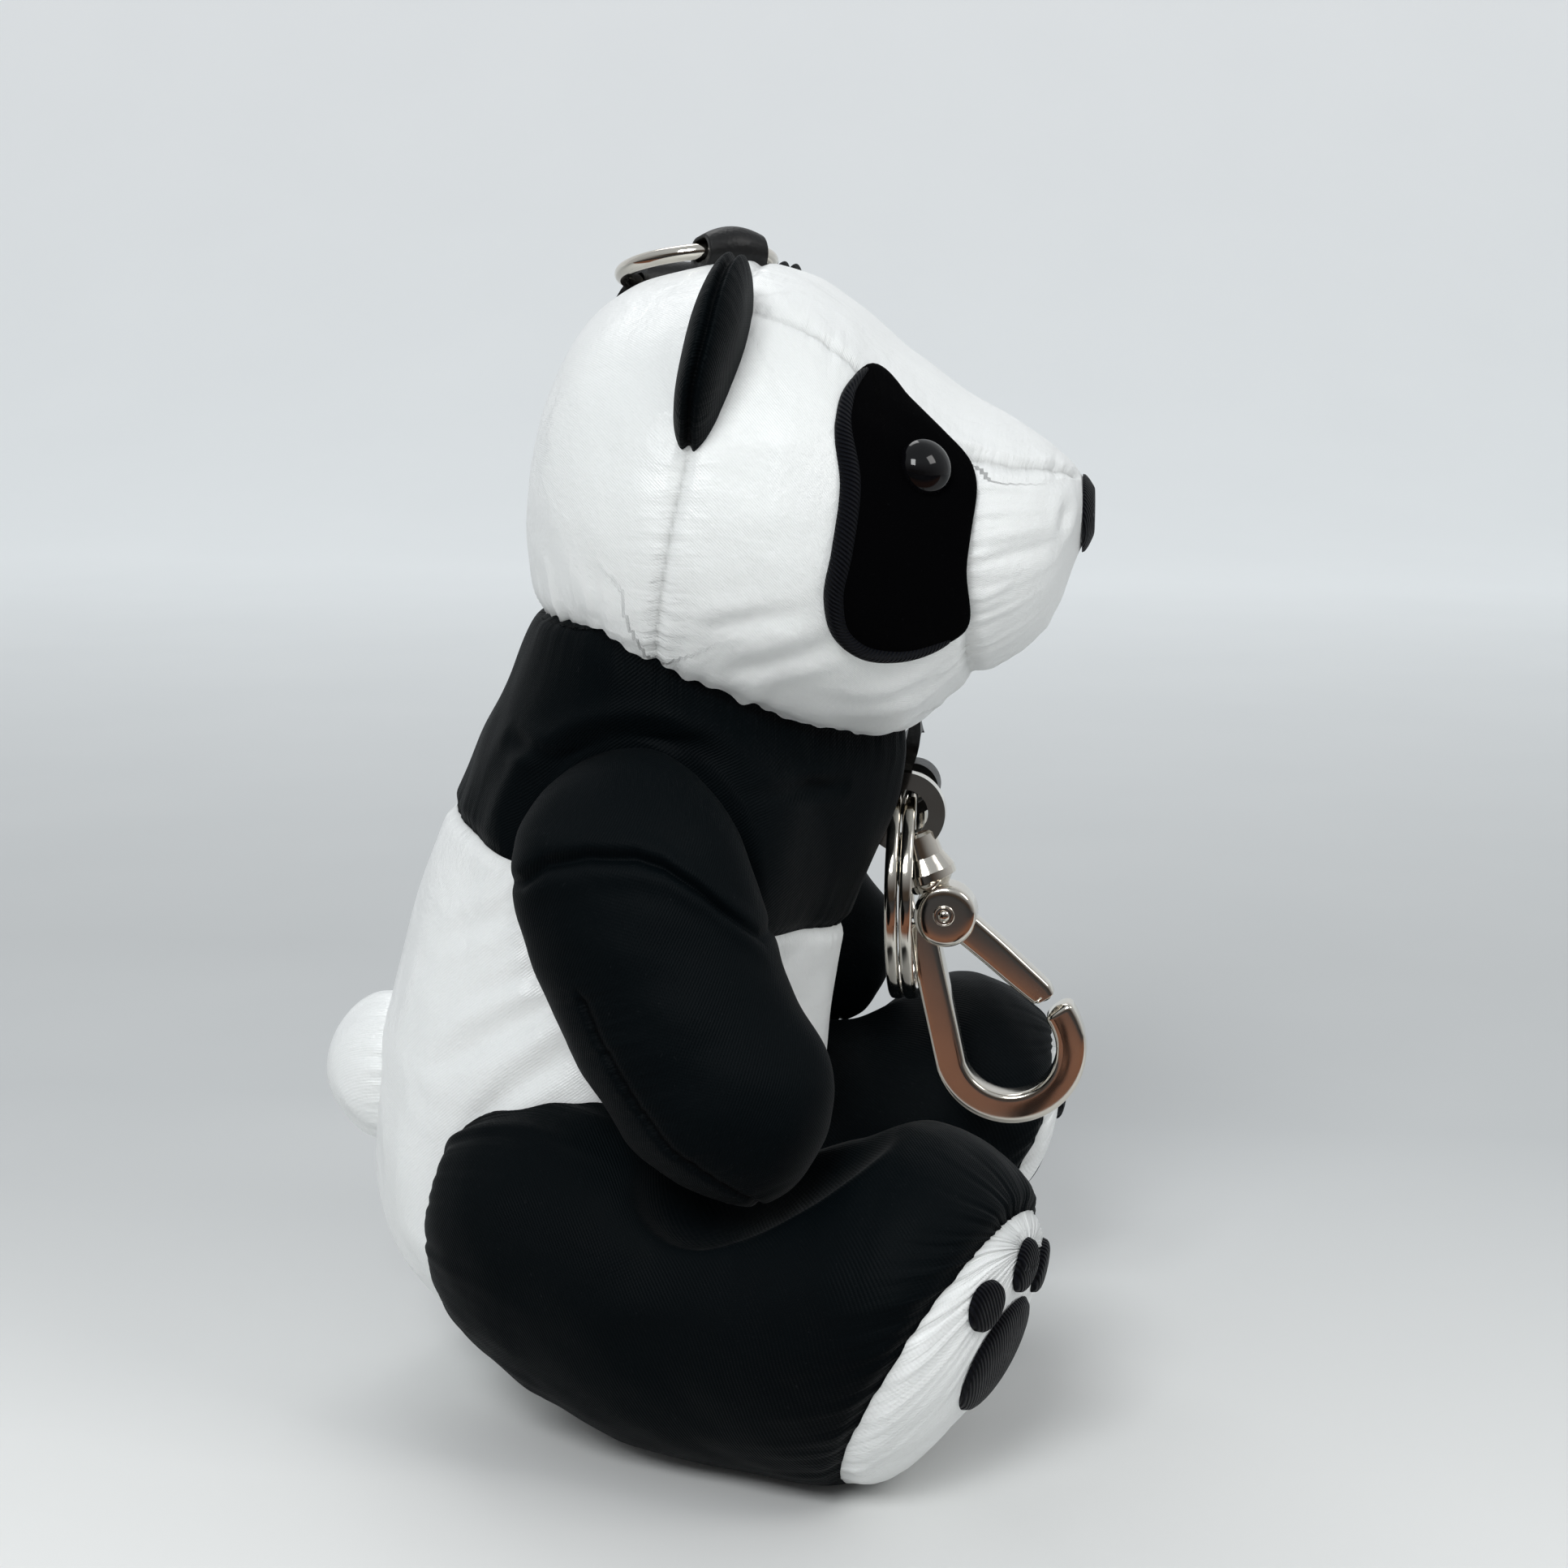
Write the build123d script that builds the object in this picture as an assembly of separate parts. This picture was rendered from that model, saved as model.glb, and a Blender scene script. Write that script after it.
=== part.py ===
"""Plush panda keychain: a seated soft toy with swinging arms, a leather strap, a split key ring
and a swivel snap hook. Millimetres, +Z up. The origin is the centre of the flat seat under the
torso. The toy faces -Y, and its right side is towards -X."""
from build123d import *
import math
import os

os.makedirs("parts", exist_ok=True)

# ---------------------------------------------------------------- driving dimensions
FABRIC = 0.6             # thickness of the satin covers
SEWN_GAP = 0.15          # clearance between two sewn soft pieces
STUFFING_GAP = 0.15      # clearance between a cover and its stuffing
BIG = 400.0              # size of the cutting blocks

HEAD_LENGTH = 58.0       # nape to nose
HEAD_WIDTH = 56.0
HEAD_HEIGHT = 50.3
HEAD_AXIS_Z = 95.5       # height of the head's long axis
NAPE_Y = 8.6             # rearmost point of the head
EAR_SEAM_FROM_NAPE = 18.6
EAR_SEAM_LEAN = 11.5      # degrees
GUSSET_HALF_WIDTH = 16.0
GUSSET_NOSE_HALF_WIDTH = 4.6

EAR_RADIUS = 10.8
EAR_THICKNESS = 5.4
EAR_LEAN = 12.0          # degrees, top of the ear forwards
EAR_OUT = 21.0           # sideways from the head's middle plane
EAR_UP = 15.0            # above the head's axis

PATCH_THICKNESS = 0.7
BORDER_THICKNESS = 1.3
BORDER_WIDTH = 2.0
NOSE_HALF_WIDTH = 5.2
NOSE_HALF_HEIGHT = 4.2

EYE_RADIUS = 2.9
EYE_DOME = 2.0
EYE_SHANK_RADIUS = 0.9
EYE_SHANK_LENGTH = 7.0
EYE_WASHER_RADIUS = 4.0
EYE_WASHER_THICKNESS = 0.8
EYE_FIT = 0.1
EYE_FROM_NAPE = 42.5
EYE_UP = 4.7

TORSO_HEIGHT = 84.0
TORSO_DEPTH = 58.0
TORSO_WIDTH = 51.0
TORSO_PINCH = 0.45       # how much narrower than an ellipse the torso's front is
TORSO_MIDDLE_REAR = 3.5  # widest place of the torso behind the origin, at the seat
TORSO_MIDDLE_LEAN = 6.5  # and how far it moves forwards up to the neck
YOKE_SEAM_Z = 57.5       # height of the yoke's hem at the middle of the torso
YOKE_SEAM_TILT = 17.5    # degrees, the hem drops towards the front

SHOULDER_Y = -5.0
SHOULDER_Z = 59.8
SHOULDER_SEAT = 21.3     # sideways place of the flat where an arm bears
SHOULDER_RADIUS = 12.7
ARM_GAP = 0.4            # clearance between an arm and the torso or the thigh
ARM_REACH = 34.8         # hinge to hand tip
ARM_WIDTH = 25.4
ARM_THICKNESS = 17.2
ARM_LEAN = 20.6          # degrees, the hand forwards of the shoulder
ARM_TRAVEL = 60.0        # degrees
HAND_AT = 28.2           # hinge to the middle of the hand
HAND_OUT = 14.0          # middle of the hand, outwards from the arm's flat
HAND_RADIUS = 7.0

LEG_LENGTH = 70.4
LEG_WIDTH = 33.0
FOOT_HEIGHT = 39.4
LEG_SPLAY = 20.0         # degrees
HIP_OUT = 14.0
HIP_Y = 17.5
SOLE_LEAN = 25.0         # degrees, the top of the sole forwards
SOLE_FROM_HIP = 58.5
PAD_THICKNESS = 0.9
PAD_RADIUS = 6.2
TOE_RADIUS = 2.5
TOE_SPREAD = 9.6

TAIL_RADIUS = 8.2
TAIL_DEPTH = 7.3
TAIL_Y = 26.5
TAIL_Z = 32.5

LEATHER = 1.2            # thickness of the strap and of the crown tab
STRAP_WIDTH = 6.6
STRAP_LIFT = 0.9         # clearance under the strap
STRAP_CHEST_GAP = 1.0    # how far the strap's last stretch stands in front of its lower loop
STRAP_FREE_LENGTH = 5.0  # straight stretch above the lower loop
STRAP_SWING = 14.0       # how widely the strap swings round the cheek
STRAP_ARRIVAL = (-0.7, -0.2, -0.7)
STRAP_STATIONS = 12
STRAP_TURN_FROM = 0.62   # share of the way round the cheek where its face starts to turn forwards
CROWN_RING_RADIUS = 8.0  # to the middle of the wire
CROWN_WIRE_RADIUS = 0.85
CROWN_RING_TURN = 35.0   # degrees, the ring lies to the left and to the back of the tab
CROWN_RING_SLOPE = 12.0  # degrees
TUNNEL_LENGTH = 3.6      # inner length of a leather loop, along the ring's radius
TUNNEL_HEIGHT = 2.3      # inner height of a leather loop
KEY_LOOP_WIDTH = 4.4     # width of the strap's lower loop
KEY_TUNNEL_HEIGHT = 3.4  # inner height of the strap's lower loop
KEY_TUNNEL_DEPTH = 4.8   # inner depth of the strap's lower loop, across the key ring's turns
TAB_STEM = 3.2           # how deep the tab is sewn into the crown seam
TAB_LIFT = 1.2           # wire axis above the crown
TAB_FORWARD = 1.3        # the tab stands in front of the ear seam's place on the head's axis
TAB_SIDE = 1.0

KEY_RING_RADIUS = 12.5   # outer
KEY_WIRE = 1.5           # radial width of one turn
KEY_TURN = 1.5           # thickness of one turn
KEY_TURN_GAP = 0.1
KEY_RING_X = 14.5
KEY_RING_Y = -29.4
KEY_RING_TOP = 63.6

HOOK_OFFSET = 5.6        # the hook's plane, to the right of the key ring's middle
HOOK_LEAN = 19.0         # degrees, the hook's tip forwards
EYE_LOOP_OUTER = 4.5
EYE_LOOP_INNER = 2.6
EYE_LOOP_THICKNESS = 2.0
EYE_LOOP_DROP = 0.6
BARREL_RADIUS = 2.5
FLANGE_RADIUS = 3.35
BARREL_START = 3.2       # the swivel's levels, measured down from the key ring's wire
FLANGE_START = 5.9
FLANGE_END = 8.5
NECK_END = 9.7
SWIVEL_GAP = 0.1
STEM_RADIUS = 0.8
STEM_HEAD_RADIUS = 1.15
STEM_HEAD_THICKNESS = 0.5
HOOK_TOP_WALL = 0.8

HOOK_BAR = 2.9           # width of the hook's bar
HOOK_THICKNESS = 3.8
HOOK_EDGE = 0.5          # bevel along the hook's bar
HOOK_BEND_RADIUS = 6.85  # to the middle of the bar
HOOK_BEND_AT = 29.3      # centre of the bend, down from the key ring's wire
HOOK_BEND_SIDE = 2.7     # and forwards of the swivel's axis
NOSE_LENGTH = 3.0
HEAD_BLOCK_RADIUS = 3.5
HEAD_BLOCK_THICKNESS = 5.2
SLOT_WIDTH = 2.6
PIN_AT = 12.6
PIN_SIDE = 0.7
PIN_RADIUS = 0.8
PIN_FIT = 0.05
GATE_HUB_RADIUS = 1.35
GATE_WIDTH = 2.4
GATE_THICKNESS = 2.4
GATE_GAP = 0.2
SPRING_WIRE = 0.3
SPRING_TURNS = 2.5

# Outline of the right eye patch: distance from the nape, height over the head's axis.
PATCH_OUTLINE = ((35.9, 14.4), (34.3, 12.2), (33.9, 9.2), (34.8, 3.0), (34.2, -3.2), (33.4, -8.0),
                 (34.0, -11.3), (36.2, -13.5), (39.2, -14.2), (43.0, -13.6), (45.8, -12.0), (46.2, -5.4),
                 (46.2, 5.0), (43.8, 7.6), (40.1, 11.2))
# Route of the strap over the left of the head: distance from the nape, degrees from the crown.
STRAP_ON_HEAD = ((6.6, 46.0), (5.6, 60.0), (6.0, 76.0), (8.2, 90.0), (12.0, 101.0))
# Sections of the head from nape to nose: distance from the nape as a share of the length,
# rise and drop from the axis as shares of the height, half width as a share of the width.
HEAD_SECTIONS = (
    (0.000, 0.040, 0.130, 0.080), (0.012, 0.139, 0.219, 0.196), (0.052, 0.288, 0.318, 0.313),
    (0.117, 0.394, 0.388, 0.402), (0.200, 0.455, 0.447, 0.464), (0.286, 0.485, 0.477, 0.493),
    (0.398, 0.497, 0.497, 0.500), (0.493, 0.471, 0.503, 0.493), (0.579, 0.412, 0.501, 0.464),
    (0.683, 0.306, 0.475, 0.393), (0.786, 0.221, 0.376, 0.313), (0.872, 0.167, 0.314, 0.250),
    (0.934, 0.121, 0.241, 0.193), (0.979, 0.074, 0.123, 0.116), (1.000, 0.030, 0.060, 0.054))
# Sections of the torso from seat to neck: height, back, front (shares of height and depth), half width.
TORSO_SECTIONS = (
    (-0.012, 0.310, 0.230, 0.320), (0.036, 0.375, 0.290, 0.410), (0.107, 0.424, 0.320, 0.461),
    (0.238, 0.478, 0.345, 0.490), (0.333, 0.479, 0.359, 0.498), (0.417, 0.469, 0.371, 0.494),
    (0.500, 0.443, 0.390, 0.476), (0.595, 0.407, 0.417, 0.458), (0.690, 0.359, 0.472, 0.445),
    (0.774, 0.309, 0.512, 0.436), (0.845, 0.260, 0.529, 0.430), (0.917, 0.203, 0.534, 0.424),
    (1.000, 0.145, 0.500, 0.405))
# Sections of a leg from hip to toe: distance, bottom, top (shares of length and height), half width.
LEG_SECTIONS = (
    (0.008, 0.400, 0.640, 0.140), (0.028, 0.275, 0.770, 0.270), (0.071, 0.150, 0.880, 0.380),
    (0.142, 0.050, 0.960, 0.455), (0.227, -0.015, 0.995, 0.490), (0.355, -0.025, 0.935, 0.494),
    (0.469, -0.025, 0.840, 0.479), (0.582, -0.025, 0.840, 0.470), (0.682, -0.020, 0.925, 0.485),
    (0.767, 0.005, 0.998, 0.500), (0.838, 0.085, 1.005, 0.485), (0.895, 0.200, 0.970, 0.424),
    (0.952, 0.360, 0.900, 0.318), (0.986, 0.500, 0.825, 0.197), (1.000, 0.600, 0.750, 0.106))
# Sections of an arm from shoulder to hand: distance from the hinge as a share of the reach, half
# width and forward shift as shares of the width, half thickness and middle as shares of the thickness.
ARM_SECTIONS = (
    (-0.353, 0.090, 0.000, 0.170, 0.480), (-0.310, 0.250, 0.000, 0.320, 0.480),
    (-0.200, 0.420, 0.000, 0.440, 0.480), (0.000, 0.500, 0.000, 0.500, 0.480),
    (0.223, 0.484, 0.000, 0.500, 0.540), (0.447, 0.472, 0.031, 0.483, 0.645),
    (0.642, 0.441, 0.071, 0.453, 0.755), (0.810, 0.362, 0.063, 0.384, 0.815),
    (0.922, 0.228, 0.039, 0.267, 0.825), (0.994, 0.087, 0.012, 0.116, 0.825))


# ---------------------------------------------------------------- small helpers
def beyond(plane):
    """A block that fills the side of a plane that its normal points to."""
    return plane * Pos(0, 0, BIG / 2) * Box(BIG, BIG, BIG)


def tilt(angle):
    """Sine and cosine of an angle in degrees."""
    return math.sin(math.radians(angle)), math.cos(math.radians(angle))


def oval(at, x, y, half_x, rise, drop, pinch=0.0):
    """Closed smooth section: half_x to each side, rise above and drop below, pinched below."""
    points = []
    for step in range(12):
        sine, cosine = tilt(30.0 * step)
        if cosine > 0:
            points.append((x + half_x * sine, y + rise * cosine, at))
        else:
            points.append((x + half_x * sine * (1 - pinch * cosine ** 2), y + drop * cosine, at))
    return make_face(Spline(*points, periodic=True))


def form(sections, middle, half, grow, pinch=0.0):
    """Loft through ovals (at, x, y, half_x, rise, drop), each side moved out by grow."""
    by = [1 + grow / size for size in half]
    faces = []
    for at, x, y, half_x, rise, drop in sections:
        at = middle[2] + (at - middle[2]) * by[2]
        x = middle[0] + (x - middle[0]) * by[0]
        y = middle[1] + (y - middle[1]) * by[1]
        faces.append(oval(at, x, y, half_x * by[0], rise * by[1], drop * by[1], pinch))
    return loft(faces)


def ellipsoid(radius, half_thickness):
    """Ellipsoid of revolution about Z."""
    return scale(Sphere(radius), by=(1, 1, half_thickness / radius))


def lens(radius, half_thickness):
    """Two shallow domes that meet at a rim, in the XY plane."""
    ball = (radius ** 2 + half_thickness ** 2) / (2 * half_thickness)
    return Pos(0, 0, ball - half_thickness) * Sphere(ball) & Pos(0, 0, half_thickness - ball) * Sphere(ball)


def mirrored(shape):
    """The same piece on the toy's left side."""
    return mirror(shape, about=Plane.YZ)


def save(name, shape):
    """Write one node."""
    shape.label = name
    export_step(shape, f"parts/{name}.step")


# ---------------------------------------------------------------- soft forms
HEAD_FRAME = Plane(origin=(0, NAPE_Y, HEAD_AXIS_Z), x_dir=(1, 0, 0), z_dir=(0, -1, 0))


def head_sections():
    """Head ovals in the head's own frame, its axis running from nape to nose."""
    rows = []
    for along, rise, drop, half in HEAD_SECTIONS:
        middle = (rise - drop) / 2 * HEAD_HEIGHT
        radius = (rise + drop) / 2 * HEAD_HEIGHT
        rows.append((along * HEAD_LENGTH, 0, middle, half * HEAD_WIDTH, radius, radius))
    return rows


def head_form(grow=0.0):
    """Outer form of the head, moved out by grow."""
    middle = (0, 0, HEAD_LENGTH / 2)
    half = (HEAD_WIDTH / 2, HEAD_HEIGHT / 2, HEAD_LENGTH / 2)
    return HEAD_FRAME * form(head_sections(), middle, half, grow)


def torso_form(grow=0.0):
    """Outer form of the torso without its shoulder bosses, cut off at the seat."""
    rows = []
    for up, back, front, half in TORSO_SECTIONS:
        middle = TORSO_MIDDLE_REAR - TORSO_MIDDLE_LEAN * up
        rear = back * TORSO_DEPTH - middle
        fore = front * TORSO_DEPTH + middle
        rows.append((up * TORSO_HEIGHT, 0, middle, half * TORSO_WIDTH, rear, fore))
    middle = (0, 0, TORSO_HEIGHT / 2)
    half = (TORSO_WIDTH / 2, TORSO_DEPTH / 2, TORSO_HEIGHT / 2)
    solid = form(rows, middle, half, grow, TORSO_PINCH)
    return solid & beyond(Plane.XY.offset(max(-grow, 0.0)))


def shoulder_boss(grow=0.0):
    """Cone about the arms' hinge axis that carries both shoulder seats."""
    length = SHOULDER_SEAT + grow
    foot_radius = SHOULDER_RADIUS + 2.0 + grow
    seat_radius = SHOULDER_RADIUS + grow
    side = Cone(foot_radius, seat_radius, length / 3, align=(Align.CENTER, Align.CENTER, Align.MIN))
    side = Pos(0, 0, length * 2 / 3) * side
    core = Cylinder(foot_radius - 2.0, length * 4 / 3)
    boss = side + core + mirror(side, about=Plane.XY)
    return Pos(0, SHOULDER_Y, SHOULDER_Z) * Rot(0, 90, 0) * boss


def shoulder_clearance(grow=0.0):
    """Everything outboard of the shoulder seats, about the hinge axis."""
    disc = Cylinder(SHOULDER_RADIUS + 1.0 - grow, BIG, align=(Align.CENTER, Align.CENTER, Align.MIN))
    disc = Pos(0, 0, SHOULDER_SEAT + grow) * disc
    both = disc + mirror(disc, about=Plane.XY)
    return Pos(0, SHOULDER_Y, SHOULDER_Z) * Rot(0, 90, 0) * both


def torso_body(grow=0.0):
    """The torso with its shoulder seats."""
    return torso_form(grow) + shoulder_boss(grow) - shoulder_clearance(grow)


SPLAY_SIN, SPLAY_COS = tilt(LEG_SPLAY)
LEG_FRAME = Plane(origin=(-HIP_OUT, HIP_Y, 0), x_dir=(SPLAY_COS, -SPLAY_SIN, 0),
                  z_dir=(-SPLAY_SIN, -SPLAY_COS, 0))


def leg_form(grow=0.0):
    """Outer form of the right leg, flat where it lies on the floor."""
    rows = []
    for along, bottom, top, half in LEG_SECTIONS:
        middle = (top + bottom) / 2 * FOOT_HEIGHT
        radius = (top - bottom) / 2 * FOOT_HEIGHT
        rows.append((along * LEG_LENGTH, 0, middle, half * LEG_WIDTH, radius, radius))
    middle = (0, FOOT_HEIGHT / 2, LEG_LENGTH / 2)
    half = (LEG_WIDTH / 2, FOOT_HEIGHT / 2, LEG_LENGTH / 2)
    solid = LEG_FRAME * form(rows, middle, half, grow)
    return solid & beyond(Plane.XY.offset(max(-grow, 0.0)))


LEAN_SIN, LEAN_COS = tilt(ARM_LEAN)
ARM_FRAME = Plane(origin=(-SHOULDER_SEAT - ARM_GAP, SHOULDER_Y, SHOULDER_Z),
                  x_dir=(0, -LEAN_COS, LEAN_SIN), z_dir=(0, -LEAN_SIN, -LEAN_COS))


def arm_form(grow=0.0):
    """Outer form of the right arm, flat on the side of its shoulder seat."""
    rows = []
    for along, half, shift, thick, middle in ARM_SECTIONS:
        radius = thick * ARM_THICKNESS
        rows.append((along * ARM_REACH, shift * ARM_WIDTH, middle * ARM_THICKNESS,
                     half * ARM_WIDTH, radius, radius))
    middle = (0, ARM_THICKNESS / 2, 0.3 * ARM_REACH)
    half = (ARM_WIDTH / 2, ARM_THICKNESS / 2, 0.65 * ARM_REACH)
    solid = ARM_FRAME * form(rows, middle, half, grow)
    seat = Plane(origin=(-SHOULDER_SEAT - ARM_GAP + grow, 0, 0), z_dir=(-1, 0, 0))
    return solid & beyond(seat)


def arm_room(grow=0.0):
    """Space around the right arm at rest, moved out by grow."""
    return arm_form(ARM_GAP + grow)


def hand_sweep(grow=0.0):
    """Space that the right hand sweeps over the thigh as the arm swings, moved out by grow."""
    start = Plane(origin=(-SHOULDER_SEAT - ARM_GAP - HAND_OUT, SHOULDER_Y, SHOULDER_Z),
                  x_dir=(0, -LEAN_SIN, -LEAN_COS), z_dir=(-1, 0, 0))
    return start * Torus(HAND_AT, HAND_RADIUS + ARM_GAP + grow, major_angle=ARM_TRAVEL, align=None)


def cover_and_stuffing(body, neighbours):
    """Fabric cover and stuffing of a body, cut clear of the neighbouring forms."""
    outer = body(0.0)
    void = body(-FABRIC)
    stuffing = body(-FABRIC - STUFFING_GAP)
    for neighbour in neighbours:
        outer = outer - neighbour(SEWN_GAP)
        void = void - neighbour(SEWN_GAP + FABRIC)
        stuffing = stuffing - neighbour(SEWN_GAP + FABRIC + STUFFING_GAP)
    return outer - void, stuffing


# ---------------------------------------------------------------- head
def surface_point(solid, axis):
    """Where a ray leaves a solid, with the outward normal there."""
    hits = solid.find_intersection_points(axis)
    hits = [hit for hit in hits if (hit[0] - axis.position).dot(axis.direction) > 0]
    return max(hits, key=lambda hit: (hit[0] - axis.position).dot(axis.direction))


def head_place(from_nape, up):
    """A point on the head's middle plane, by distance from the nape and height over the axis."""
    return Vector(0, NAPE_Y - from_nape, HEAD_AXIS_Z + up)


def side_prism(points):
    """Prism through the right half of the head, over a smooth outline of (from nape, up)."""
    places = [head_place(*point) for point in points]
    outline = Spline(*[(place.Y, place.Z) for place in places], periodic=True)
    return Plane.YZ * extrude(make_face(outline), amount=-BIG / 2)


def ear_seam_plane():
    """Seam between the face and the nape, through both ears."""
    sine, cosine = tilt(EAR_SEAM_LEAN)
    return Plane(origin=head_place(EAR_SEAM_FROM_NAPE, 0), x_dir=(1, 0, 0), z_dir=(0, -cosine, -sine))


def gusset_prism():
    """Strip over the crown and down to the nose, narrowing forwards."""
    rear = head_place(EAR_SEAM_FROM_NAPE - EAR_RADIUS, 0).Y
    bridge = head_place(HEAD_LENGTH * 0.68, 0).Y
    nose = head_place(HEAD_LENGTH + EAR_RADIUS / 3, 0).Y
    right = [(-GUSSET_HALF_WIDTH, rear), (-GUSSET_HALF_WIDTH, bridge), (-GUSSET_NOSE_HALF_WIDTH, nose)]
    left = [(-x, y) for x, y in reversed(right)]
    return Pos(0, 0, HEAD_AXIS_Z) * extrude(make_face(Polyline(*right, *left, close=True)), amount=BIG / 2)


def eye_patch():
    """Velvet patch around the right eye and the raised border along its rear and lower edge."""
    prism = side_prism(PATCH_OUTLINE)
    inside = Pos(0, -BORDER_WIDTH, BORDER_WIDTH * 0.8) * prism
    skin = head_form(SEWN_GAP)
    patch = (head_form(PATCH_THICKNESS) - skin) & prism & inside
    border = ((head_form(BORDER_THICKNESS) - skin) & prism) - inside
    return largest(patch), largest(border)


def largest(shape):
    """The biggest solid of a shape."""
    return max(shape.solids(), key=lambda solid: solid.volume)


def eye_frame():
    """Frame on the right eye's seat, its Z axis pointing out of the head."""
    place = head_place(EYE_FROM_NAPE, EYE_UP)
    point, normal = surface_point(head_form(PATCH_THICKNESS + SEWN_GAP), Axis(place, (-1, 0, 0)))
    return Plane(origin=point, z_dir=normal)


def eye_parts(frame):
    """Domed safety eye with its shank, and the washer that locks it inside the head."""
    dome = ellipsoid(EYE_RADIUS, EYE_DOME) & beyond(Plane.XY)
    shank = Pos(0, 0, -EYE_SHANK_LENGTH / 2) * Cylinder(EYE_SHANK_RADIUS, EYE_SHANK_LENGTH)
    washer_level = -(PATCH_THICKNESS + 2 * SEWN_GAP + FABRIC + EYE_WASHER_THICKNESS)
    washer = Cylinder(EYE_WASHER_RADIUS, EYE_WASHER_THICKNESS) - Cylinder(
        EYE_SHANK_RADIUS + EYE_FIT, EYE_WASHER_THICKNESS * 2)
    return frame * (dome + shank), frame * (Pos(0, 0, washer_level) * washer)


def eye_pocket(frame):
    """Room for the shank, and inside the head for the washer."""
    shank = Cylinder(EYE_SHANK_RADIUS + EYE_FIT, EYE_SHANK_LENGTH * 2 + EYE_FIT)
    depth = EYE_WASHER_THICKNESS * 4 + STUFFING_GAP
    washer = Pos(0, 0, -depth / 2) * Cylinder(EYE_WASHER_RADIUS + EYE_FIT, depth)
    return frame * shank, frame * washer


def ear():
    """Right ear: a thin stuffed disc that stands on the ear seam."""
    sine, cosine = tilt(EAR_LEAN)
    lean_back = EAR_UP * math.tan(math.radians(EAR_SEAM_LEAN))
    middle = head_place(EAR_SEAM_FROM_NAPE + lean_back, EAR_UP) - Vector(EAR_OUT, 0, 0)
    frame = Plane(origin=middle, x_dir=(1, 0, 0), z_dir=(0, -cosine, -sine))
    disc = frame * lens(EAR_RADIUS, EAR_THICKNESS / 2)
    return largest(disc - head_form(SEWN_GAP))


def nose():
    """Felt nose on the end of the muzzle."""
    outline = Ellipse(NOSE_HALF_WIDTH, NOSE_HALF_HEIGHT)
    prism = HEAD_FRAME * Pos(0, 0, HEAD_LENGTH * 0.8) * extrude(outline, amount=HEAD_LENGTH * 0.4)
    return largest((head_form(PATCH_THICKNESS) - head_form(SEWN_GAP)) & prism)


# ---------------------------------------------------------------- leather loops, tab and strap
def leather_loop():
    """Closed loop of leather in the XY plane: X runs to the ring's middle, Z along the tunnel."""
    slot = TUNNEL_LENGTH - TUNNEL_HEIGHT
    outer = SlotCenterToCenter(slot, TUNNEL_HEIGHT + 2 * LEATHER)
    inner = SlotCenterToCenter(slot, TUNNEL_HEIGHT)
    return extrude(outer - inner, amount=STRAP_WIDTH / 2, both=True)


def ring_frame():
    """Frame of the crown ring: origin at its middle, X from the tab to the strap, Z its spin axis."""
    crown = head_place(EAR_SEAM_FROM_NAPE + TAB_FORWARD, 0)
    top, _ = surface_point(head_form(0.0), Axis(crown + Vector(TAB_SIDE, 0, 0), (0, 0, 1)))
    wire = top + Vector(0, 0, TAB_LIFT)
    turn_sin, turn_cos = tilt(CROWN_RING_TURN)
    drop_sin, drop_cos = tilt(CROWN_RING_SLOPE)
    to_strap = Vector(turn_cos * drop_cos, turn_sin * drop_cos, -drop_sin)
    spin = Vector(turn_cos * drop_sin, turn_sin * drop_sin, drop_cos)
    return Plane(origin=wire + to_strap * CROWN_RING_RADIUS, x_dir=to_strap, z_dir=spin)


def loop_on_ring(frame, side):
    """A leather loop around the crown ring's wire, at its start (-1) or its far end (+1)."""
    place = frame * Pos(side * CROWN_RING_RADIUS, 0, 0) * Rot(90, 0, 0)
    return place * leather_loop()


def crown_tab(frame):
    """Leather tab that holds the crown ring, and its envelope for the pocket in the seam."""
    start = frame * Pos(-CROWN_RING_RADIUS, 0, 0)
    depth = TUNNEL_HEIGHT / 2 + LEATHER / 2
    stem = Pos(0, 0, -depth - TAB_STEM / 2) * Box(2 * LEATHER, STRAP_WIDTH, TAB_STEM)
    tab = loop_on_ring(frame, -1) + start * stem
    grown = TUNNEL_LENGTH + 2 * LEATHER + 2 * SEWN_GAP
    height = TUNNEL_HEIGHT + 2 * LEATHER + 2 * SEWN_GAP
    room = Box(grown, STRAP_WIDTH + 2 * SEWN_GAP, height)
    stem_room = Pos(0, 0, -depth - TAB_STEM / 2) * Box(
        2 * (LEATHER + SEWN_GAP), STRAP_WIDTH + 2 * SEWN_GAP, TAB_STEM + 2 * SEWN_GAP)
    return tab, start * (room + stem_room)


def key_wire_place():
    """Middle of the key ring's wire where the strap's lower loop holds it."""
    return Vector(KEY_RING_X, KEY_RING_Y, KEY_RING_TOP - KEY_WIRE / 2)


def unrolled(start, heading, end, arrival, share):
    """Point on a smooth curve that leaves start along heading and reaches end along arrival."""
    return (start * (1 - share) ** 3 + (start + heading) * (3 * share * (1 - share) ** 2)
            + (end - arrival) * (3 * share ** 2 * (1 - share)) + end * share ** 3)


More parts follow.
